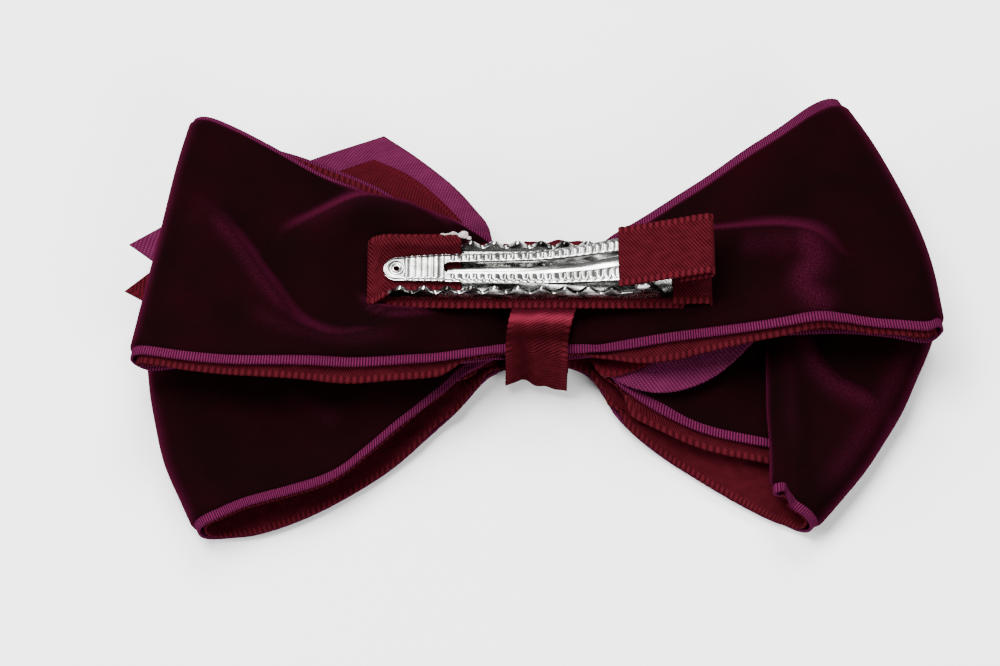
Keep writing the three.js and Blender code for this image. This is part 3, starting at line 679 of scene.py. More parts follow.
# Back panels of the upper bow: top selvage, bottom selvage, then the bends of the three inner points.
UPPER_LEFT_BACK = [
    ((LEFT, 8.2, 11.6), (LEFT, -7.6, 11.3), [0, -0.1, 0]),
    ((-6.8, 10.0, 12.8), (-7.0, -8.2, 11.8), [(0, 0.4, 0.3), -0.1, 0.1]),
    ((-10.6, 11.9, 13.4), (-11.0, -9.3, 12.7), [(0, 1.0, 0.6), 0.0, 0.2]),
    ((-15.4, 13.8, 13.4), (-16.0, -10.6, 13.9), [(0, 2.0, 1.3), -0.2, 0.4]),
    ((-23.0, 16.6, 13.4), (-25.0, -12.0, 15.4), [(0, 3.2, 2.2), 0.2, 0.8]),
    ((-29.4, 18.6, 15.0), (-32.0, -12.3, 16.8), [(0, 1.0, 0.2), 0.9, 0.6]),
    ((-36.2, 22.0, 16.4), (-40.4, -12.2, 17.0), [-0.6, 0.4, 0.8]),
    ((-42.6, 26.0, 16.4), (-48.6, -11.4, 16.6), [0.0, 0.6, 0.6]),
    ((-46.8, 28.4, 15.2), (-54.2, -9.8, 15.2), [0.1, 0.2, 0.1]),
]
UPPER_RIGHT_BACK = [
    ((RIGHT, 8.2, 11.3), (RIGHT, -7.6, 11.3), [0, -0.1, 0]),
    ((12.0, 11.2, 12.0), (12.4, -7.5, 12.4), [0.2, -0.2, 0.2]),
    ((17.4, 14.2, 13.4), (18.6, -7.2, 13.8), [0.0, -0.6, 0.4]),
    ((26.4, 19.9, 15.4), (29.0, -6.6, 15.6), [(0, -0.6, 0.4), 0.0, 0.5]),
    ((34.6, 25.4, 16.8), (41.0, -5.9, 17.2), [-0.3, 0.8, 0.5]),
    ((39.4, 29.2, 16.7), (49.8, -6.3, 16.5), [(0.9, 0.3, 0.1), (1.2, 0.4, 0.4), (0.9, 0.3, 0.3)]),
    ((41.6, 30.8, 16.0), (55.4, -6.1, 15.4), [(1.7, 0.6, 0.1), (2.2, 0.8, 0.3), (1.7, 0.6, 0.2)]),
]
LOWER_LEFT_BACK_PLAN = [
    (LEFT, PINCH_TOP, LEFT, -5.6),
    (-9.5, 8.6, -8.8, -7.9),
    (-14.4, 9.1, -13.2, -12.0),
    (-20.5, 9.4, -18.8, -17.0),
    (-25.6, 9.4, -23.4, -21.4),
    (-31.0, 9.1, -27.8, -25.2),
    (-38.0, 8.1, -33.8, -27.6, -0.8, -1.0),
    (-46.6, 6.5, -39.9, -29.4, -1.6, -1.0),
    (-52.0, 4.8, -43.8, -31.2, -2.2, -0.8),
]
LOWER_LEFT_FRONT_PLAN = [
    (LEFT, PINCH_TOP, LEFT, -6.6),
    (-13.0, 9.0, -11.4, -12.8),
    (-24.0, 9.5, -21.0, -21.4),
    (-36.0, 8.5, -31.5, -28.0, -0.8, -1.0),
    (-46.6, 6.5, -39.2, -30.9, -1.6, -1.0),
    (-52.0, 4.8, -43.4, -31.4, -2.2, -0.8),
]
LOWER_RIGHT_FRONT_PLAN = [
    (RIGHT, PINCH_TOP, RIGHT, PINCH_BOTTOM),
    (17.0, 9.0, 13.0, -15.0),
    (30.0, 9.5, 21.0, -20.9),
    (42.0, 7.6, 28.6, -26.0),
    (50.5, 4.8, 33.6, -28.8, 1.2, -0.8),
    (54.6, 2.4, 35.6, -29.6, 1.8, -1.2),
]
FLAP_PLAN = [
    LOWER_RIGHT_FRONT_PLAN[-1],
    (49.4, 6.2, 35.2, -28.8),
    (42.0, 9.2, 35.0, -28.0),
    (35.4, 10.4, 34.8, -27.2, -0.4, 0),
]
# The flap's end is turned under: steps along x and down from its last cross-section.
FLAP_ROLL = [(-0.9, 0.25), (-1.3, 0.9), (-0.9, 1.5), (0.6, 1.8), (2.6, 1.8)]
UNDER_FLAP_PLAN = [
    (38.5, 9.4, 38.0, -20.0),
    (27.0, 9.4, 24.0, -17.2),
    (17.0, 9.0, 13.4, -11.8),
    (RIGHT, PINCH_TOP, RIGHT, -5.0),
]
UNDER_FLAP_SINK = [2.9, 2.0, 0.6, 0.0]


def upper_bow_net():
    """The upper bow's strip: both loops, its two cut ends meeting in a seam at the knot's front."""
    seam = 0.6
    left_front = on_layer("upperFront", UPPER_LEFT_PLAN)
    left_back = [cross_section(*row) for row in UPPER_LEFT_BACK][::-1]
    right_back = [cross_section(*row) for row in UPPER_RIGHT_BACK]
    right_front = on_layer("upperFront", UPPER_RIGHT_PLAN)[::-1]
    ends = [on_layer("upperFront", [(x, PINCH_TOP, x, -7.6)]) for x in (KNOT_X - seam, KNOT_X + seam)]
    return [*ends[0], *left_front, *turn(left_front[-1], left_back[0]), *left_back,
            *right_back, *turn(right_back[-1], right_front[0]), *right_front, *ends[1]]


def lower_bow_net():
    """The lower bow's strip, from the panel under the flap round both loops to the flap's end."""
    under = on_layer("lowerBack", UNDER_FLAP_PLAN)
    for row, sink in zip(under, UNDER_FLAP_SINK):
        row[:, 2] -= sink
    left_back = on_layer("lowerBack", LOWER_LEFT_BACK_PLAN)
    left_front = on_layer("lowerFront", LOWER_LEFT_FRONT_PLAN)[::-1]
    right_front = on_layer("lowerFront", LOWER_RIGHT_FRONT_PLAN)
    flap = on_layer("lowerBack", FLAP_PLAN)
    panel_end = flap[-1]
    for x, sink in FLAP_ROLL:
        rolled = panel_end.copy()
        rolled[:, 0] += x
        rolled[:, 2] -= sink
        flap.append(rolled)
    return [*under, *left_back, *turn(left_back[-1], left_front[0]), *left_front,
            *right_front, *turn(right_front[-1], flap[0]), *flap]


def beside(points, line):
    """For each grid point its plan distance from a polyline, positive on the left of the line's
    direction, and its share of the way along the line."""
    best = np.full(points.shape[:2], 1e9)
    signed = np.zeros(points.shape[:2])
    share = np.zeros(points.shape[:2])
    line = spline([(x, y, 0) for x, y in line], np.linspace(0, len(line) - 1, 8 * len(line)))
    line = line[:, :2]
    run = lengths(line)
    for p, q, start, end in zip(line[:-1], line[1:], run[:-1], run[1:]):
        along = q - p
        t = np.clip(((points[..., :2] - p) @ along) / (along @ along), 0, 1)
        away = points[..., :2] - (p + t[..., None] * along)
        d = np.linalg.norm(away, axis=2)
        side = np.sign(along[0] * away[..., 1] - along[1] * away[..., 0])
        closer = d < best
        best = np.where(closer, d, best)
        signed = np.where(closer, d * side, signed)
        share = np.where(closer, (start + t * (end - start)) / run[-1], share)
    return signed, share


def near_line(points, line, left, right):
    """1 on a line, falling off softly over a width of its own on each side, for each grid point,
    and the point's share of the way along the line."""
    distance, share = beside(points, line)
    return np.exp(-(distance / np.where(distance > 0, left, right)) ** 2), share


def crease(points, line, height, left, right):
    """Lift of a soft ridge, or of a valley if height is negative, fading out at both its ends."""
    near, share = near_line(points, line, left, right)
    return height * np.sin(np.pi * np.clip(share * 0.94 + 0.03, 0, 1)) ** 0.6 * near


# Creases of the back panels: points of the line, height, width on its left and on its right.
UPPER_CREASES = [
    ([(-35, 7.8), (-32, 9.3), (-28.6, 11.0), (-23.4, 13.2), (-18.8, 12.8), (-15.4, 11.8),
      (-11.4, 10.8), (-7.4, 9.8)], 2.7, 1.8, 3.8),
    ([(-47.6, 13.2), (-45.0, 9.8), (-42.2, 6.0), (-39.2, 1.6), (-36.0, -3.0), (-33.4, -6.0),
      (-30.4, -7.6)], 1.2, 1.5, 3.4),
    ([(-42, 11.0), (-38.4, 5.2), (-35.2, 0.6), (-32, -3.6), (-27, -5.4)], -1.5, 3.4, 2.4),
    ([(-41, -2.6), (-38.0, -5.4), (-33.6, -7.8), (-27.2, -8.6), (-18.8, -7.2), (-11.5, -5.6)],
     1.2, 1.7, 3.0),
    ([(-24.6, -1.4), (-22.6, -3.0), (-19.6, -3.8), (-15.4, -2.8), (-13.0, -1.8)], 1.5, 0.7, 2.0),
    ([(20.0, 9.2), (25.2, 8.6), (29.6, 8.3), (34.1, 7.9), (38.0, 7.3), (41.4, 5.8)],
     1.9, 1.2, 3.6),
    ([(35.5, 6.4), (38.6, 4.6), (39.0, 2.4), (37.4, -0.4), (38.8, -3.0), (42.6, -4.8)],
     1.8, 2.6, 3.2),
    ([(26.0, 12.6), (35.0, 11.8), (42.0, 10.0), (45.0, 5.0)], -1.2, 2.8, 2.0),
    ([(10, -5.2), (18, -4.6), (28, -3.6), (36, -3.4)], 0.6, 1.2, 1.6),
]
LOWER_CREASES = [
    ([(-56.5, -11.5), (-54.0, -9.2), (-50.0, -7.6), (-46, -7.0)], 1.1, 1.2, 1.8),
    ([(-46, -10), (-41, -16), (-35, -20)], 0.5, 2.4, 2.4),
    ([(-30, -17), (-22, -11), (-14, -8)], 0.6, 1.8, 1.8),
    ([(6.5, -5.6), (9.3, -7.3), (11.6, -10.0), (14.9, -12.4), (20.5, -14.6)], 0.8, 0.6, 0.9),
    ([(36.0, -1.6), (38.2, -5.0), (40.0, -8.6), (42.4, -11.4), (46.6, -13.8), (49.2, -16.6)],
     1.6, 1.2, 3.0),
    ([(36, -6), (36.4, -14), (37, -22)], 0.5, 1.4, 1.4),
]


def painted_sheen(grid, strokes, above):
    """Share of painted sheen, from 0 to 1: soft-edged strokes of lighter colour where light glows on
    the pile, on the panels higher than above. A stroke is its line, its strength and its width on
    either side."""
    share = np.zeros(grid.shape[:2])
    for line, strength, left, right in strokes:
        near, along = near_line(grid, line, left, right)
        share = np.maximum(share, strength * near * smooth(along, 0, 0.2) * smooth(1 - along, 0, 0.25))
    return share * smooth(grid[..., 2], above, above + 1.0)


# Strokes of painted sheen on the upper bow's velvet: line, strength, width on its left and on its
# right.
UPPER_SHEEN_STROKES = [
    ([(35.6, 7.2), (38.4, 5.6), (39.2, 3.0), (37.6, 0.0), (39.2, -2.8), (42.6, -5.0)],
     0.42, 2.2, 1.8),
    ([(28.5, 6.6), (33.5, 6.2), (38.0, 5.4)], 0.18, 1.4, 1.6),
    ([(-46.5, 12.5), (-44.0, 9.0), (-41.0, 4.6), (-37.8, -0.4), (-34.6, -4.6), (-31.4, -6.8)],
     0.34, 0.6, 1.0),
    ([(-41.0, -3.2), (-37.2, -6.2), (-32.0, -8.2), (-25.0, -8.4), (-17.0, -6.8)], 0.12, 1.2, 0.8),
    ([(-34, 8.8), (-29, 11.2), (-24, 13.4), (-19, 13.2), (-14, 11.6)], 0.14, 1.2, 1.0),
    ([(-24.4, -1.8), (-22.4, -3.4), (-19.4, -4.2), (-15.4, -3.2), (-13.2, -2.0)], 0.4, 0.35, 0.4),
]
# Strokes of painted sheen on the lower bow's velvet.
LOWER_SHEEN_STROKES = [
    ([(36.4, -1.6), (38.6, -5.0), (40.4, -8.6), (42.8, -11.4), (47.0, -13.8), (49.8, -16.8)],
     0.36, 0.9, 1.5),
    ([(36.6, 4.0), (36.2, -8.0), (36.2, -22.0)], 0.08, 1.0, 1.0),
    ([(54.5, -2.0), (48.7, -14.0), (42.5, -23.5), (38.3, -28.5)], 0.20, 1.2, 1.4),
    ([(20.5, -9.0), (24.0, -6.5), (28.0, -4.5)], 0.10, 2.0, 2.0),
    ([(-56.0, -11.0), (-53.4, -8.8), (-50.0, -7.4)], 0.24, 0.9, 1.0),
    ([(-36.0, -12.0), (-31.0, -14.5), (-27.0, -18.0)], 0.10, 1.4, 1.4),
]


def creased(grid, creases, above):
    """The grid with its creases, on the panels higher than above only."""
    lift = sum(crease(grid, *one) for one in creases)
    lift = lift * smooth(grid[..., 2], above, above + 1.5)
    out = grid.copy()
    out[..., 2] += lift
    return out


def gathered(grid):
    """Pleats fanning out of the knot, the same in every layer, so that the layers nest."""
    out = np.abs(grid[..., 0] - KNOT_X) - KNOT_HALF
    reach = smooth(out, -0.2, 2.2) * np.exp(-np.maximum(out, 0) / 6.5)
    y = grid[..., 1] / (1 + 0.035 * np.maximum(out, 0))
    pleats = np.sin(1.45 * y + 0.6) + 0.5 * np.sin(2.7 * y + 2.0)
    lifted = grid.copy()
    lifted[..., 2] += 0.45 * pleats * reach
    return lifted


def rumpled(grid, seed, amount):
    """Small soft unevenness: a few long waves along and across, none at the knot."""
    random = np.random.default_rng(seed)
    cloth = cloth_attributes(grid)
    wave = np.zeros(grid.shape[:2])
    for _ in range(7):
        length = random.uniform(9, 22)
        heading = random.uniform(0, math.pi)
        phase = random.uniform(0, 2 * math.pi)
        along = cloth[..., 0] * math.cos(heading) + cloth[..., 1] * math.sin(heading)
        wave += np.sin(2 * math.pi * along / length + phase)
    away = smooth(np.abs(grid[..., 0] - KNOT_X), KNOT_HALF + 2, 22)
    return grid + grid_normals(grid) * (wave * amount / 7 * away)[..., None]


def velvet_piece(name, grid, painted_sheen_share):
    """Velvet: a ground cloth with pile on its face, which stops short of both selvages. The last
    argument is the share of painted sheen at each grid point."""
    column = np.arange(grid.shape[1])
    inside = np.minimum(column, column[::-1]) - RIM_COLUMNS
    pile = PILE_AT_SELVAGE + PILE_DEPTH * smooth(inside, -0.5, 2.0)
    piece = sheet_piece(name, grid, pile, VELVET_BACK, [PILE, SELVAGE_CORD], RIM_COLUMNS)
    point_values(piece, "painted_sheen", painted_sheen_share)
    return piece


def lining_piece(name, grid):
    """Lining lies a little under its velvet, on the same grid."""
    return sheet_piece(name, grid, LINING_FACE, LINING_BACK, [LINING])


# How far the upper bow's lining shows below its velvet at the back: x, drop.
UPPER_LINING_DROP = [(-56, 1.0), (-40, 1.5), (-25, 2.3), (-13, 2.1), (-8.5, 0.3), (-4, -0.7),
                     (7, 2.0), (20, 2.5), (30, 1.4), (40, 1.0), (56, 0.7)]


def make_upper_bow():
    """Velvet and lining of the bow nearest the clip."""
    ribbon = Ribbon(upper_bow_net(), rims=(0.6, SELVAGE))
    ribbon.rims[0] = 0.6 + 0.8 * smooth(ribbon.rows[:, 0, 0], 2, 14)

    def shaped(grid):
        return flipped(rumpled(gathered(creased(grid, UPPER_CREASES, 13.0)), 5, 0.5))

    grid = shaped(ribbon.cut())
    velvet = velvet_piece("upper_velvet", grid, painted_sheen(grid, UPPER_SHEEN_STROKES, 13.0))
    stands_for(velvet, "upper_bow_velvet", "bow")
    x, z = ribbon.rows[:, -1, 0], ribbon.rows[:, -1, 2]
    drop = np.interp(x, *np.array(UPPER_LINING_DROP).T) * smooth(z, 11.0, 13.0)
    lining = lining_piece("upper_lining", shaped(ribbon.cut(1.0, drop - 0.2)))
    stands_for(lining, "upper_bow_lining", "bow")


def make_lower_bow():
    """Velvet and lining of the bow that lies on the table."""
    ribbon = Ribbon(lower_bow_net(), rims=(0.45, SELVAGE))
    x, z = ribbon.rows[:, -1, 0], ribbon.rows[:, -1, 2]
    ribbon.rims[1] = SELVAGE + 0.9 * np.exp(-((np.abs(x - KNOT_X) - 7.5) / 3.5) ** 2)
    from_end = lengths(ribbon.rows[:, -1])
    under_flap = smooth(x, KNOT_X + 4, KNOT_X + 12) * (1 - smooth(from_end, 24, 32))
    drop = 0.25 - 0.35 * smooth(z, 3.5, 5.0) + 2.1 * under_flap

    def shaped(grid):
        grid = rumpled(gathered(creased(grid, LOWER_CREASES, 4.2)), 11, 0.35)
        grid[..., 2] = np.maximum(grid[..., 2], PILE_AT_SELVAGE + PILE_DEPTH + 0.02)
        return grid

    grid = shaped(ribbon.cut())
    velvet = velvet_piece("lower_velvet", grid, painted_sheen(grid, LOWER_SHEEN_STROKES, 5.0))
    stands_for(velvet, "lower_bow_velvet", "bow")
    lining = lining_piece("lower_lining", shaped(ribbon.cut(1.0, drop)))
    stands_for(lining, "lower_bow_lining", "bow")


PLUM_TAIL_PLAN = [
    (-21.8, 29.2, -58.2, 11.2, -0.6, 1.2),
    (-16.4, 25.2, -47.0, 3.0, -0.3, 0.6),
    (-10.8, 20.4, -34.0, -2.0),
    (-6.6, 14.8, -18.0, -4.4),
    (LEFT, 8.0, LEFT, -5.0),
    (RIGHT, 7.6, RIGHT, -5.0),
    (13.0, 10.6, 12.0, -10.4),
    (19.0, 13.6, 18.4, -12.4),
    (26.0, 17.2, 25.6, -9.8),
    (33.0, 21.0, 36.6, 2.0),
]
RED_TAIL_PLAN = [
    (-23.2, 24.8, -58.4, 3.2, -1.0, 2.0),
    (-17.8, 22.0, -47.0, -3.0, -0.5, 1.0),
    (-13.0, 17.8, -34.0, -5.6),
    (-8.6, 13.0, -18.0, -5.6),
    (LEFT, 7.6, LEFT, -5.0),
    (RIGHT, 7.6, RIGHT, -5.0),
    (10.4, 9.6, 9.6, -9.6),
    (15.6, 12.4, 15.0, -8.8),
    (21.6, 15.6, 21.6, -3.4),
    (26.4, 18.4, 31.0, 7.0),
]


def make_tail(name, node, layer, plan, material):
    """A streamer between the two bows, pinched at the knot and cut on the slant at both ends."""
    ribbon = Ribbon(on_layer(layer, plan), step=0.8, columns=40)
    grid = facing_up(gathered(ribbon.cut()), 2, 2)
    piece = sheet_piece(name, grid, TAIL_HALF, -TAIL_HALF, [material])
    stands_for(piece, node, "bow")


# ------------------------------------------------------------------ knot

# Distances of the thread's and the band's middles from the pinched layers, and the band's loops.
THREAD_STAND = 0.5
BAND_STAND = 1.6
PICOT_PITCH = 0.95
TUBE_SIDES = 8


def round_pinch(distance, share):
    """Points round the pinched layers at a distance from them, for shares 0 to 1 of the way."""
    front, back = LEVEL["lowerFront"] - 0.5, LEVEL["upperBack"] + 0.5
    line = []
    for y, z, first in ((PINCH_TOP, front, -90), (PINCH_TOP, back, 0),
                        (PINCH_BOTTOM, back, 90), (PINCH_BOTTOM, front, 180)):
        for degrees in np.linspace(first, first + 90, 9):
            angle = math.radians(degrees)
            line.append((y + distance * math.cos(angle), z + distance * math.sin(angle)))
    line.append(line[0])
    line = np.array(line)
    run = lengths(line)
    wanted = np.mod(share, 1.0) * run[-1]
    return np.stack([np.interp(wanted, run, line[:, k]) for k in range(2)], axis=1)


def make_band():
    """The satin band: a closed ring with soft lengthwise folds and little loops at its edges."""
    around, columns = 400, 40
    share = np.linspace(0, 1, around + 1)
    side = np.linspace(-1, 1, columns)
    ring = round_pinch(BAND_STAND, share)
    run = lengths(ring)
    grid = np.zeros((around + 1, columns, 3))
    grid[..., 1] = ring[:, None, 0]
    grid[..., 2] = ring[:, None, 1]
    picot = 0.13 * np.abs(np.sin(math.pi * run / PICOT_PITCH))[:, None] * (np.abs(side) > 0.99)
    low = smooth(-ring[:, 0], -PINCH_TOP, -PINCH_BOTTOM + 0.6)[:, None]
    grid[..., 0] = KNOT_X + 2.3 - 3.1 * low + (4.7 - 0.45 * low + picot) * side
    grid[..., 1] += low**3 * np.interp(side, (-1, -0.5, 0.2, 1), (0.1, 0.9, 0.1, -0.9))
    fold = 0.16 * np.cos(side * 9.0) * (1 - side**2) + 0.12 * np.sin(side * 4.0 + 0.7)
    grid = grid + grid_normals(grid) * (fold * np.ones((around + 1, 1)))[..., None]
    if grid_normals(grid)[5, 5] @ (grid[5, 5] - grid.mean(axis=(0, 1))) < 0:
        grid = flipped(grid)
    piece = sheet_piece("band", grid, 0.15, -0.12, [BAND_SATIN])
    # Painted highlight across the band's top and painted shade across its middle, one number per point.
    y = grid[..., 1]
    painted_gleam = np.exp(-((y + 2.9) / 1.1) ** 2) - 0.85 * np.exp(-((y + 6.2) / 1.5) ** 2)
    point_values(piece, "painted_gleam", painted_gleam)
    stands_for(piece, "centre_band", "bow")


def tube(path, radius):
    """Points and faces of a closed tube along a path, and each point's distance along it."""
    path = np.asarray(path, float)
    tangent = np.gradient(path, axis=0)
    tangent /= np.linalg.norm(tangent, axis=1, keepdims=True)
    guide = np.array([1.0, 0.13, 0.07])
    first = np.cross(tangent, guide)
    first /= np.linalg.norm(first, axis=1, keepdims=True)
    second = np.cross(tangent, first)
    radius = np.broadcast_to(radius, len(path))[:, None, None]
    angle = np.linspace(0, 2 * math.pi, TUBE_SIDES, endpoint=False)
    ring = (first[:, None] * np.cos(angle)[None, :, None]
            + second[:, None] * np.sin(angle)[None, :, None])
    points = (path[:, None] + ring * radius).reshape(-1, 3)
    faces = []
    for i in range(len(path) - 1):
        for j in range(TUBE_SIDES):
            k, m = i * TUBE_SIDES + j, i * TUBE_SIDES + (j + 1) % TUBE_SIDES
            faces.append((k, m, m + TUBE_SIDES, k + TUBE_SIDES))
    faces.append(tuple(range(TUBE_SIDES))[::-1])
    faces.append(tuple(range(len(points) - TUBE_SIDES, len(points))))
    run = np.repeat(lengths(path), TUBE_SIDES)
    return points, faces, run


def outward(piece):
    """Turns every face of a closed piece outwards."""
    work = bmesh.new()
    work.from_mesh(piece.data)
    bmesh.ops.recalc_face_normals(work, faces=work.faces)
    work.to_mesh(piece.data)
    work.free()
    return piece


def make_thread():
    """Sewing thread wound side by side round the pinched layers, under the band."""
    turns, radius = 9, 0.19
    share = np.linspace(0, turns, turns * 60)
    ring = round_pinch(THREAD_STAND, share)
    x = KNOT_X + (share / turns - 0.5) * (turns * radius * 2.1)
    points, faces, run = tube(np.column_stack([x, ring]), radius)
    piece = outward(mesh_object("thread", points, faces, [THREAD]))
    layer = piece.data.attributes.new("cloth", "FLOAT_VECTOR", "POINT")
    values = np.column_stack([run, np.arange(len(run)) % TUBE_SIDES * 0.15, run * 0])
    layer.data.foreach_set("vector", values.astype(np.float32).ravel())
    stands_for(piece, "binding_thread", "bow")


def blob(name, centre, radii, seed, rough):
    """A lump of set glue, uneven by the share rough."""
    work = bmesh.new()
    bmesh.ops.create_icosphere(work, subdivisions=4, radius=1.0)
    random = np.random.default_rng(seed)
    ways = random.normal(size=(9, 3))
    phases = random.uniform(0, 2 * math.pi, 9)
    points = np.array([v.co for v in work.verts])
    swell = 1 + rough * np.sin(points @ ways.T * 1.8 + phases).mean(axis=1)
    points = points * swell[:, None] * np.array(radii) + np.array(centre)
    faces = [tuple(v.index for v in f.verts) for f in work.faces]
    work.free()
    piece = mesh_object(name, points, faces, [GLUE])
    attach(piece, "bow")
    return piece


def make_glue_strand():
    """Frayed glue that has squeezed out along the far edge of the ribbon round the lower jaw."""
    x = np.linspace(-13.2, -9.4, 40)
    z = FLOOR_TOP + 2.25 + 0.10 * np.sin(1.9 * x) + 0.06 * np.sin(5.3 * x)
    y = 7.45 + 0.10 * np.sin(2.7 * x + 1.0) + 0.05 * np.sin(7.1 * x)
    radius = 0.10 + 0.07 * np.sin(3.1 * x) ** 2 + 0.16 * np.exp(-((x + 11.2) / 0.7) ** 2)
    points, faces, _ = tube(np.column_stack([x, y, z]), radius)
    strand = outward(mesh_object("glue_strand", points, faces, [GLUE]))
    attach(strand, "bow")
    blob("glue_drop", (-10.0, 7.0, FLOOR_TOP + 2.9), (0.65, 0.5, 0.32), 5, rough=0.5)
    blob("glue_crumb", (-9.2, 6.6, FLOOR_TOP + 2.75), (0.35, 0.28, 0.22), 6, rough=0.5)


# ------------------------------------------------------------------ clip

LEVER_LEFT = -21.2
LEVER_RIGHT = 24.0
LEVER_LINE = [(LEVER_LEFT, 1.04), (-12, 1.42), (1, 1.85), (6.4, 2.8), (12, 4.2), (18, 6.1),
              (LEVER_RIGHT, 8.2)]
LEVER_THICK = 0.45
TIP_RADIUS = 1.8
LEVER_WIDTHS = [(-19.4, 3.6), (-12, 4.3), (0, 4.9), (8, 6.0), (13, 6.8), (LEVER_RIGHT, 6.8)]
SLOT_FROM, SLOT_TO = -12.8, 13.4
SLOT_LEFT, SLOT_RIGHT = 1.8, 2.7
TIP_HOLE_X, TIP_HOLE_RADIUS = -19.4, 0.45
RIDGES = (-18.2, -12.6, 0.86)
RIBS = (-12.0, 11.6, 1.05)
TOOTH_PITCH = 3.3
TEETH = (-20.5, 12.2)
EAR_RADIUS = 1.2
HOLE_RADIUS = 0.75

LEVER_CURVE = spline([(x, 0, FLOOR_TOP + z) for x, z in LEVER_LINE], np.linspace(0, 6, 1201))


def lever_z(x):
    """Middle height of the lever's plate."""
    return np.interp(x, LEVER_CURVE[:, 0], LEVER_CURVE[:, 2])


def lever_width(x):
    """Whole width of the lever, with its round tip."""
    x = np.asarray(x, float)
    wide = np.interp(x, *np.array(LEVER_WIDTHS).T)
    reach = np.clip(x - LEVER_LEFT, 0, TIP_RADIUS)
    tip = 2 * np.sqrt(np.maximum(TIP_RADIUS**2 - (TIP_RADIUS - reach)**2, 0.01))
    return np.where(x - LEVER_LEFT < TIP_RADIUS, tip, wide)


def slot_half(x):
    """Half the width of the lever's tapered slot."""
    return np.interp(x, (SLOT_FROM, SLOT_TO), (SLOT_LEFT / 2, SLOT_RIGHT / 2))


def solid_between(name, outline, low, high, axis, material):
    """A plate: a closed outline of (u, v) points between two levels along axis 'y' or 'z'."""
    outline = np.asarray(outline, float)
    count = len(outline)
    points = []
    for level in (low, high):
        for u, v in outline:
            points.append((u, level, v) if axis == "y" else (u, v, level))
    faces = [tuple(range(count)), tuple(range(count, 2 * count))[::-1]]
    faces += [(k, k + count, (k + 1) % count + count, (k + 1) % count) for k in range(count)]
    return outward(mesh_object(name, np.array(points), faces, [material], smooth_shaded=False))


def soften(piece, width):
    """Rounds the piece's hard edges and shades it smooth."""
    modifier = piece.modifiers.new("edges", "BEVEL")
    modifier.width = width * MM
    modifier.segments = 2
    modifier.limit_method = "ANGLE"
    modifier.angle_limit = math.radians(35)
    apply_modifiers(piece)
    piece.data.shade_smooth()
    piece.data.set_sharp_from_angle(angle=math.radians(40))


def apply_modifiers(piece):
    """Makes the piece's modifiers part of its mesh."""
    graph = bpy.context.evaluated_depsgraph_get()
    final = bpy.data.meshes.new_from_object(piece.evaluated_get(graph))
    piece.modifiers.clear()
    piece.data = final


def combine(piece, other, operation):
    """Boolean of piece with other; other is used up."""
    modifier = piece.modifiers.new("cut", "BOOLEAN")
    modifier.operation = operation
    modifier.object = other
    modifier.solver = "EXACT"
    bpy.context.view_layer.update()
    apply_modifiers(piece)
    bpy.data.objects.remove(other)


def arc(cx, cz, radius, first, last, count=16):
    """Points of an arc between two angles in degrees."""
    angles = np.radians(np.linspace(first, last, count))
    return [(cx + radius * math.cos(a), cz + radius * math.sin(a)) for a in angles]


def pin_bore(low, high, material):
    """A plug the size of the hole for the pin, between two levels along Y."""
    return solid_between("bore", arc(PIN[0], PIN[2], HOLE_RADIUS, 0, 345, 24), low, high, "y", material)


def emboss(x, y):
    """Height of the lever's pressed pattern: close ridges behind the tip pad, wedge ribs on both
    rails, a raised rim round the eyelet and edges pressed down a little all along."""
    height = np.zeros(np.broadcast(x, y).shape)
    start, end, pitch = RIDGES
    band = smooth(x, start - 0.05, start + 0.1) * (1 - smooth(x, end - 0.1, end + 0.05))
    groove = np.abs(np.cos(math.pi * (x - start) / pitch)) ** 0.5
    height = height + 0.15 * band * groove
    start, end, pitch = RIBS
    inside = smooth(x, start, start + 0.2) * (1 - smooth(x, end - 0.2, end))
    off = np.abs(y - CLIP_Y)
    from_slot = off - slot_half(x)
    room = lever_width(x) / 2 - slot_half(x)
    reach = smooth(from_slot / room, 0.05, 0.2) * (1 - smooth(from_slot / room, 0.82, 0.95))
    wedge = np.clip(1 - np.abs(np.mod((x - start) / pitch, 1.0) - 0.5) * 3.0, 0, 1)
    height = height + 0.20 * inside * reach * wedge
    eyelet = np.hypot(x - TIP_HOLE_X, y - CLIP_Y)
    height = height + 0.14 * np.exp(-((eyelet - 0.85) / 0.22) ** 2)
    rim = smooth(np.abs(y - CLIP_Y) / (lever_width(x) / 2), 0.80, 0.97)
    return height - 0.16 * rim


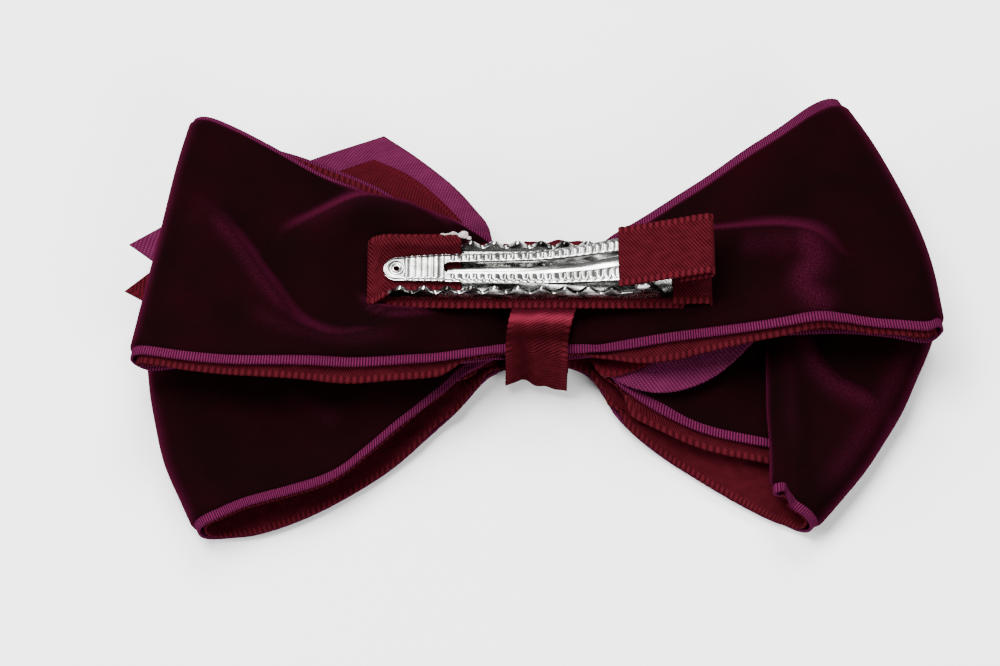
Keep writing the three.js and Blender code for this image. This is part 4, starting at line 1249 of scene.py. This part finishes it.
def make_lever():
    """The upper jaw: an embossed strip with a slot and an eyelet, and two lugs round the pin."""
    body = LEVER_RIGHT - LEVER_LEFT
    x = np.concatenate([LEVER_LEFT + 0.4 * np.linspace(0, 1, 8) ** 2,
                        np.linspace(LEVER_LEFT + 0.5, LEVER_RIGHT, int(body / 0.11))])
    side = np.linspace(-1, 1, 41)
    grid = np.zeros((len(x), len(side), 3))
    grid[..., 0] = x[:, None]
    grid[..., 1] = CLIP_Y + side * lever_width(x)[:, None] / 2
    grid[..., 2] = lever_z(x)[:, None]
    lift = emboss(grid[..., 0], grid[..., 1])
    piece = sheet_piece("lever", grid, LEVER_THICK / 2 + lift, -LEVER_THICK / 2 + lift * 0.5,
                        [STEEL])
    low, high = FLOOR_TOP - 1, FLOOR_TOP + 12
    radius = SLOT_LEFT / 2
    outline = [(SLOT_TO, CLIP_Y - SLOT_RIGHT / 2), (SLOT_TO, CLIP_Y + SLOT_RIGHT / 2),
               *arc(SLOT_FROM + radius, CLIP_Y, radius, 90, 270)]
    combine(piece, solid_between("slot", outline, low, high, "z", STEEL), "DIFFERENCE")
    hole = arc(TIP_HOLE_X, CLIP_Y, TIP_HOLE_RADIUS, 0, 345, 24)
    combine(piece, solid_between("hole", hole, low, high, "z", STEEL), "DIFFERENCE")
    inset = JAW_WIDTH / 2 - PLATE - 0.35
    for side in (-1, 1):
        low_y = CLIP_Y + side * inset - (0.4 if side > 0 else 0)
        outline = [(PIN[0] + EAR_RADIUS, lever_z(PIN[0] + EAR_RADIUS)),
                   (PIN[0] - EAR_RADIUS, lever_z(PIN[0] - EAR_RADIUS)),
                   *arc(PIN[0], PIN[2], EAR_RADIUS, 180, 360)]
        lug = solid_between("lug", outline, low_y, low_y + 0.4, "y", STEEL)
        combine(lug, pin_bore(low_y - 1, low_y + 1.4, STEEL), "DIFFERENCE")
        combine(piece, lug, "UNION")
    piece.data.shade_smooth()
    piece.data.set_sharp_from_angle(angle=math.radians(50))
    stands_for(piece, "clip_lever", "lever")


def jaw_wall_outline():
    """Side of the lower jaw: wavy biting edge, a step, then the ear round the pin."""
    foot = FLOOR_TOP - PLATE
    valley = FLOOR_TOP + 1.0
    rear = PIN[0] + EAR_RADIUS + 1.6
    first, last = TEETH
    outline = [(first, foot), (rear, foot), (rear, valley)]
    outline += arc(PIN[0], PIN[2], EAR_RADIUS, 0, 180, 18)
    outline.append((PIN[0] - EAR_RADIUS, valley + 0.4))
    for x in np.arange(last, first, -TOOTH_PITCH / 14):
        wave = (1 - math.cos(2 * math.pi * (x - first) / TOOTH_PITCH)) / 2
        outline.append((x, valley + 1.4 * wave))
    outline.append((first, valley))
    return outline


def make_base():
    """The lower jaw: a pressed channel, its floor and two toothed walls made as one."""
    low, high = CLIP_Y - JAW_WIDTH / 2, CLIP_Y + JAW_WIDTH / 2
    left, right = BASE_LOW[0] - SHIFT[0], BASE_HIGH[0] - SHIFT[0]
    r = 1.6
    outline = [*arc(right - r, low + r, r, 270, 360, 10), *arc(right - r, high - r, r, 0, 90, 10),
               *arc(left + r, high - r, r, 90, 180, 10), *arc(left + r, low + r, r, 180, 270, 10)]
    piece = solid_between("base", outline, FLOOR_TOP - PLATE, FLOOR_TOP, "z", JAW_STEEL_PAINTED_REFLECTION)
    for side in (-1, 1):
        face = low if side < 0 else high - PLATE
        wall = solid_between("wall", jaw_wall_outline(), face, face + PLATE, "y", JAW_STEEL_PAINTED_REFLECTION)
        combine(wall, pin_bore(face - 1, face + 1.5, JAW_STEEL_PAINTED_REFLECTION), "DIFFERENCE")
        combine(piece, wall, "UNION")
    soften(piece, 0.12)
    stands_for(piece, "clip_base", "bow")


def make_pin():
    """The rivet: a plain shank with a domed head on each side."""
    half = JAW_WIDTH / 2 + 0.2
    profile = [(0.6, 0.0), (0.6, half), (1.05, half), (1.05, half + 0.1), (0.95, half + 0.24),
               (0.7, half + 0.34), (0.35, half + 0.39), (0.0, half + 0.4)]
    profile = [(r, -y) for r, y in profile[:0:-1]] + profile[1:]
    count = 32
    rings = [(r, y) for r, y in profile if r > 0]
    points = [(PIN[0], CLIP_Y + profile[0][1], PIN[2])]
    for r, y in rings:
        for k in range(count):
            a = 2 * math.pi * k / count
            points.append((PIN[0] + r * math.cos(a), CLIP_Y + y, PIN[2] + r * math.sin(a)))
    points.append((PIN[0], CLIP_Y + profile[-1][1], PIN[2]))
    faces = []
    for k in range(count):
        m = (k + 1) % count
        faces.append((0, 1 + k, 1 + m))
        for ring in range(len(rings) - 1):
            a, b = 1 + ring * count, 1 + (ring + 1) * count
            faces.append((a + k, b + k, b + m, a + m))
        last = 1 + (len(rings) - 1) * count
        faces.append((last + k, len(points) - 1, last + m))
    piece = outward(mesh_object("pin", np.array(points), faces, [STEEL]))
    piece.data.set_sharp_from_angle(angle=math.radians(40))
    stands_for(piece, "hinge_pin", "bow")


def path_ribbon(path, half_width, step, columns=24, crown=0.0):
    """Grid of a strip along a path in X and Z, centred on the clip's line. half_width is given at
    shares of the path, and crown is how far the strip's middle stands off its edges."""
    stations = [(x, 0, z) for x, z in path]
    samples = even_samples(lambda t: spline(stations, t), len(stations), step)
    line = spline(stations, samples)
    side = np.linspace(-1, 1, columns)
    half = np.interp(samples / (len(stations) - 1), *np.array(half_width).T)
    grid = np.zeros((len(line), columns, 3))
    grid[..., 0] = line[:, None, 0]
    grid[..., 1] = CLIP_Y + side * half[:, None]
    grid[..., 2] = line[:, None, 2]
    if crown:
        grid = grid + grid_normals(grid) * (crown * (1 - side**2))[None, :, None]
    return grid, lengths(line)


def make_spring():
    """The leaf spring: a smooth crowned tongue that bends round the pin onto the jaw's floor."""
    under = LEVER_THICK / 2 + 0.125 + 0.3
    bend = 0.6 + 0.3 + 0.125
    tongue = [(x, lever_z(x) - under) for x in (-12.4, -6, 0, 4, 8, 11)]
    wrap = [(PIN[0] + bend * math.cos(a), PIN[2] + bend * math.sin(a))
            for a in np.radians([100, 60, 20, -20, -60, -90])]
    foot = [(11, FLOOR_TOP + 0.9), (6, FLOOR_TOP + 0.45), (2, FLOOR_TOP + 0.45)]
    path = [*tongue, (13.4, PIN[2] + 0.55), *wrap, *foot]
    widths = [(0, 0.30), (0.010, 0.52), (0.04, 0.62), (0.3, 0.72), (0.45, 0.95), (1, 1.3)]
    grid, _ = path_ribbon(path, widths, step=0.2, crown=0.12)
    grid[..., 1] -= 0.32 * (1 - smooth(grid[..., 0], 6.0, 12.0))
    piece = sheet_piece("spring", grid, 0.125, -0.125, [SPRING_STEEL])
    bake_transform(piece)
    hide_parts("lever_spring")


def picot_edges(grid, run):
    """Little loops along both edges."""
    out = grid.copy()
    swell = 0.14 * np.abs(np.sin(math.pi * run / PICOT_PITCH))
    out[:, 0, 1] -= swell
    out[:, -1, 1] += swell
    return out


def make_base_ribbon():
    """Satin ribbon round the lower jaw. Inside the channel it climbs over the far wall."""
    over, under = FLOOR_TOP + 0.45, FLOOR_TOP - PLATE - 0.45
    left, right = BASE_LOW[0] - SHIFT[0], BASE_HIGH[0] - SHIFT[0]
    half = (over - under) / 2
    net = []

    def row(x, ys, zs):
        net.append([(x, y, z) for y, z in zip(ys, zs)])

    def turned_end(x, side):
        for degrees in (-40, 0, 40):
            angle = math.radians(side * degrees)
            end_x = x + side * (0.15 + half * math.cos(angle))
            row(end_x, full, [over - half + half * math.sin(angle)] * 8)

    inside_y = (-0.75, 0.8, 2.6, 4.2, 5.15, 5.7, 6.5, 7.3)
    inside_z = (0.75, 0.35, 0.25, 0.4, 1.7, 2.75, 2.8, 2.2)
    for x in (-10.3, -13.0, -16.0, -19.0):
        row(x, inside_y, [FLOOR_TOP + z for z in inside_z])
    row(-21.2, (-1.6, 0.4, 2.5, 4.2, 5.3, 6.0, 6.8, 7.5),
        [FLOOR_TOP + z for z in (0.5, 0.45, 0.4, 0.5, 1.5, 2.3, 2.2, 1.8)])
    full = tuple(CLIP_Y + 5.0 * s for s in (-1, -0.71, -0.43, -0.14, 0.14, 0.43, 0.71, 1))
    row(left - 0.1, full, [over + z for z in (-0.2, 0, 0, 0, 0.1, 0.3, 0.6, 0.6)])
    turned_end(left, -1)
    for x in (left - 0.1, -15, -5, 5, 15, right + 0.1):
        row(x, full, [under] * 8)
    turned_end(right, 1)
    for x in (right + 0.1, 21.6, 19.4):
        row(x, full, [over] * 8)
    net = np.array(net)
    samples = even_samples(lambda t: spline(net[:, 3], t), len(net), 0.24)
    rows = spline(net, samples)
    grid = spline(rows.transpose(1, 0, 2), np.linspace(0, 7, 36)).transpose(1, 0, 2)
    run = lengths(grid[:, 15])
    grid = facing_up(picot_edges(grid, run), 4, 10)
    piece = sheet_piece("base_satin", grid, SATIN_HALF, -SATIN_HALF, [BAND_SATIN])
    stands_for(piece, "base_ribbon", "bow")


def make_lever_ribbon():
    """Satin ribbon over the squeezing end of the lever, folded round it."""
    stand = LEVER_THICK / 2 + 0.3 + 0.125

    def normal(x):
        slope = (lever_z(x + 0.1) - lever_z(x - 0.1)) / 0.2
        size = math.hypot(slope, 1)
        return -slope / size, 1 / size

    def beside(x, distance):
        nx, nz = normal(x)
        return x + nx * distance, lever_z(x) + nz * distance

    nx, nz = normal(LEVER_RIGHT - 0.2)
    end_x, end_z = LEVER_RIGHT + 0.15, lever_z(LEVER_RIGHT)
    rounding = [(end_x + stand * (nz * math.cos(a) + nx * math.sin(a)),
                 end_z + stand * (-nx * math.cos(a) + nz * math.sin(a)))
                for a in np.radians([60, 25, -10, -50])]
    path = [*(beside(x, stand) for x in (11.9, 14, 17, 20, 23.0)), *rounding,
            *(beside(x, -stand) for x in (23.2, 21.6, 20))]
    grid, run = path_ribbon(path, [(0, 4.55), (1, 4.55)], step=0.24, columns=30)
    grid = facing_up(picot_edges(grid, run), 4, 10)
    piece = sheet_piece("lever_satin", grid, SATIN_HALF, -SATIN_HALF, [BAND_SATIN])
    stands_for(piece, "lever_ribbon", "lever")


# ------------------------------------------------------------------ assembly

make_upper_bow()
make_lower_bow()
make_tail("plum_tail", "plum_tail_ribbon", "plumTail", PLUM_TAIL_PLAN, PLUM)
make_tail("red_tail", "red_tail_ribbon", "redTail", RED_TAIL_PLAN, RED_TAIL)
make_band()
make_thread()
GLUE_LOW, GLUE_HIGH = span("glue_pad")
pad = blob("glue_blob", (GLUE_LOW + GLUE_HIGH) / 2 - SHIFT, (4.3, 3.1, 0.72), 3, rough=0.08)
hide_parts("glue_pad")
make_glue_strand()
make_base()
make_lever()
make_pin()
make_spring()
make_base_ribbon()
make_lever_ribbon()
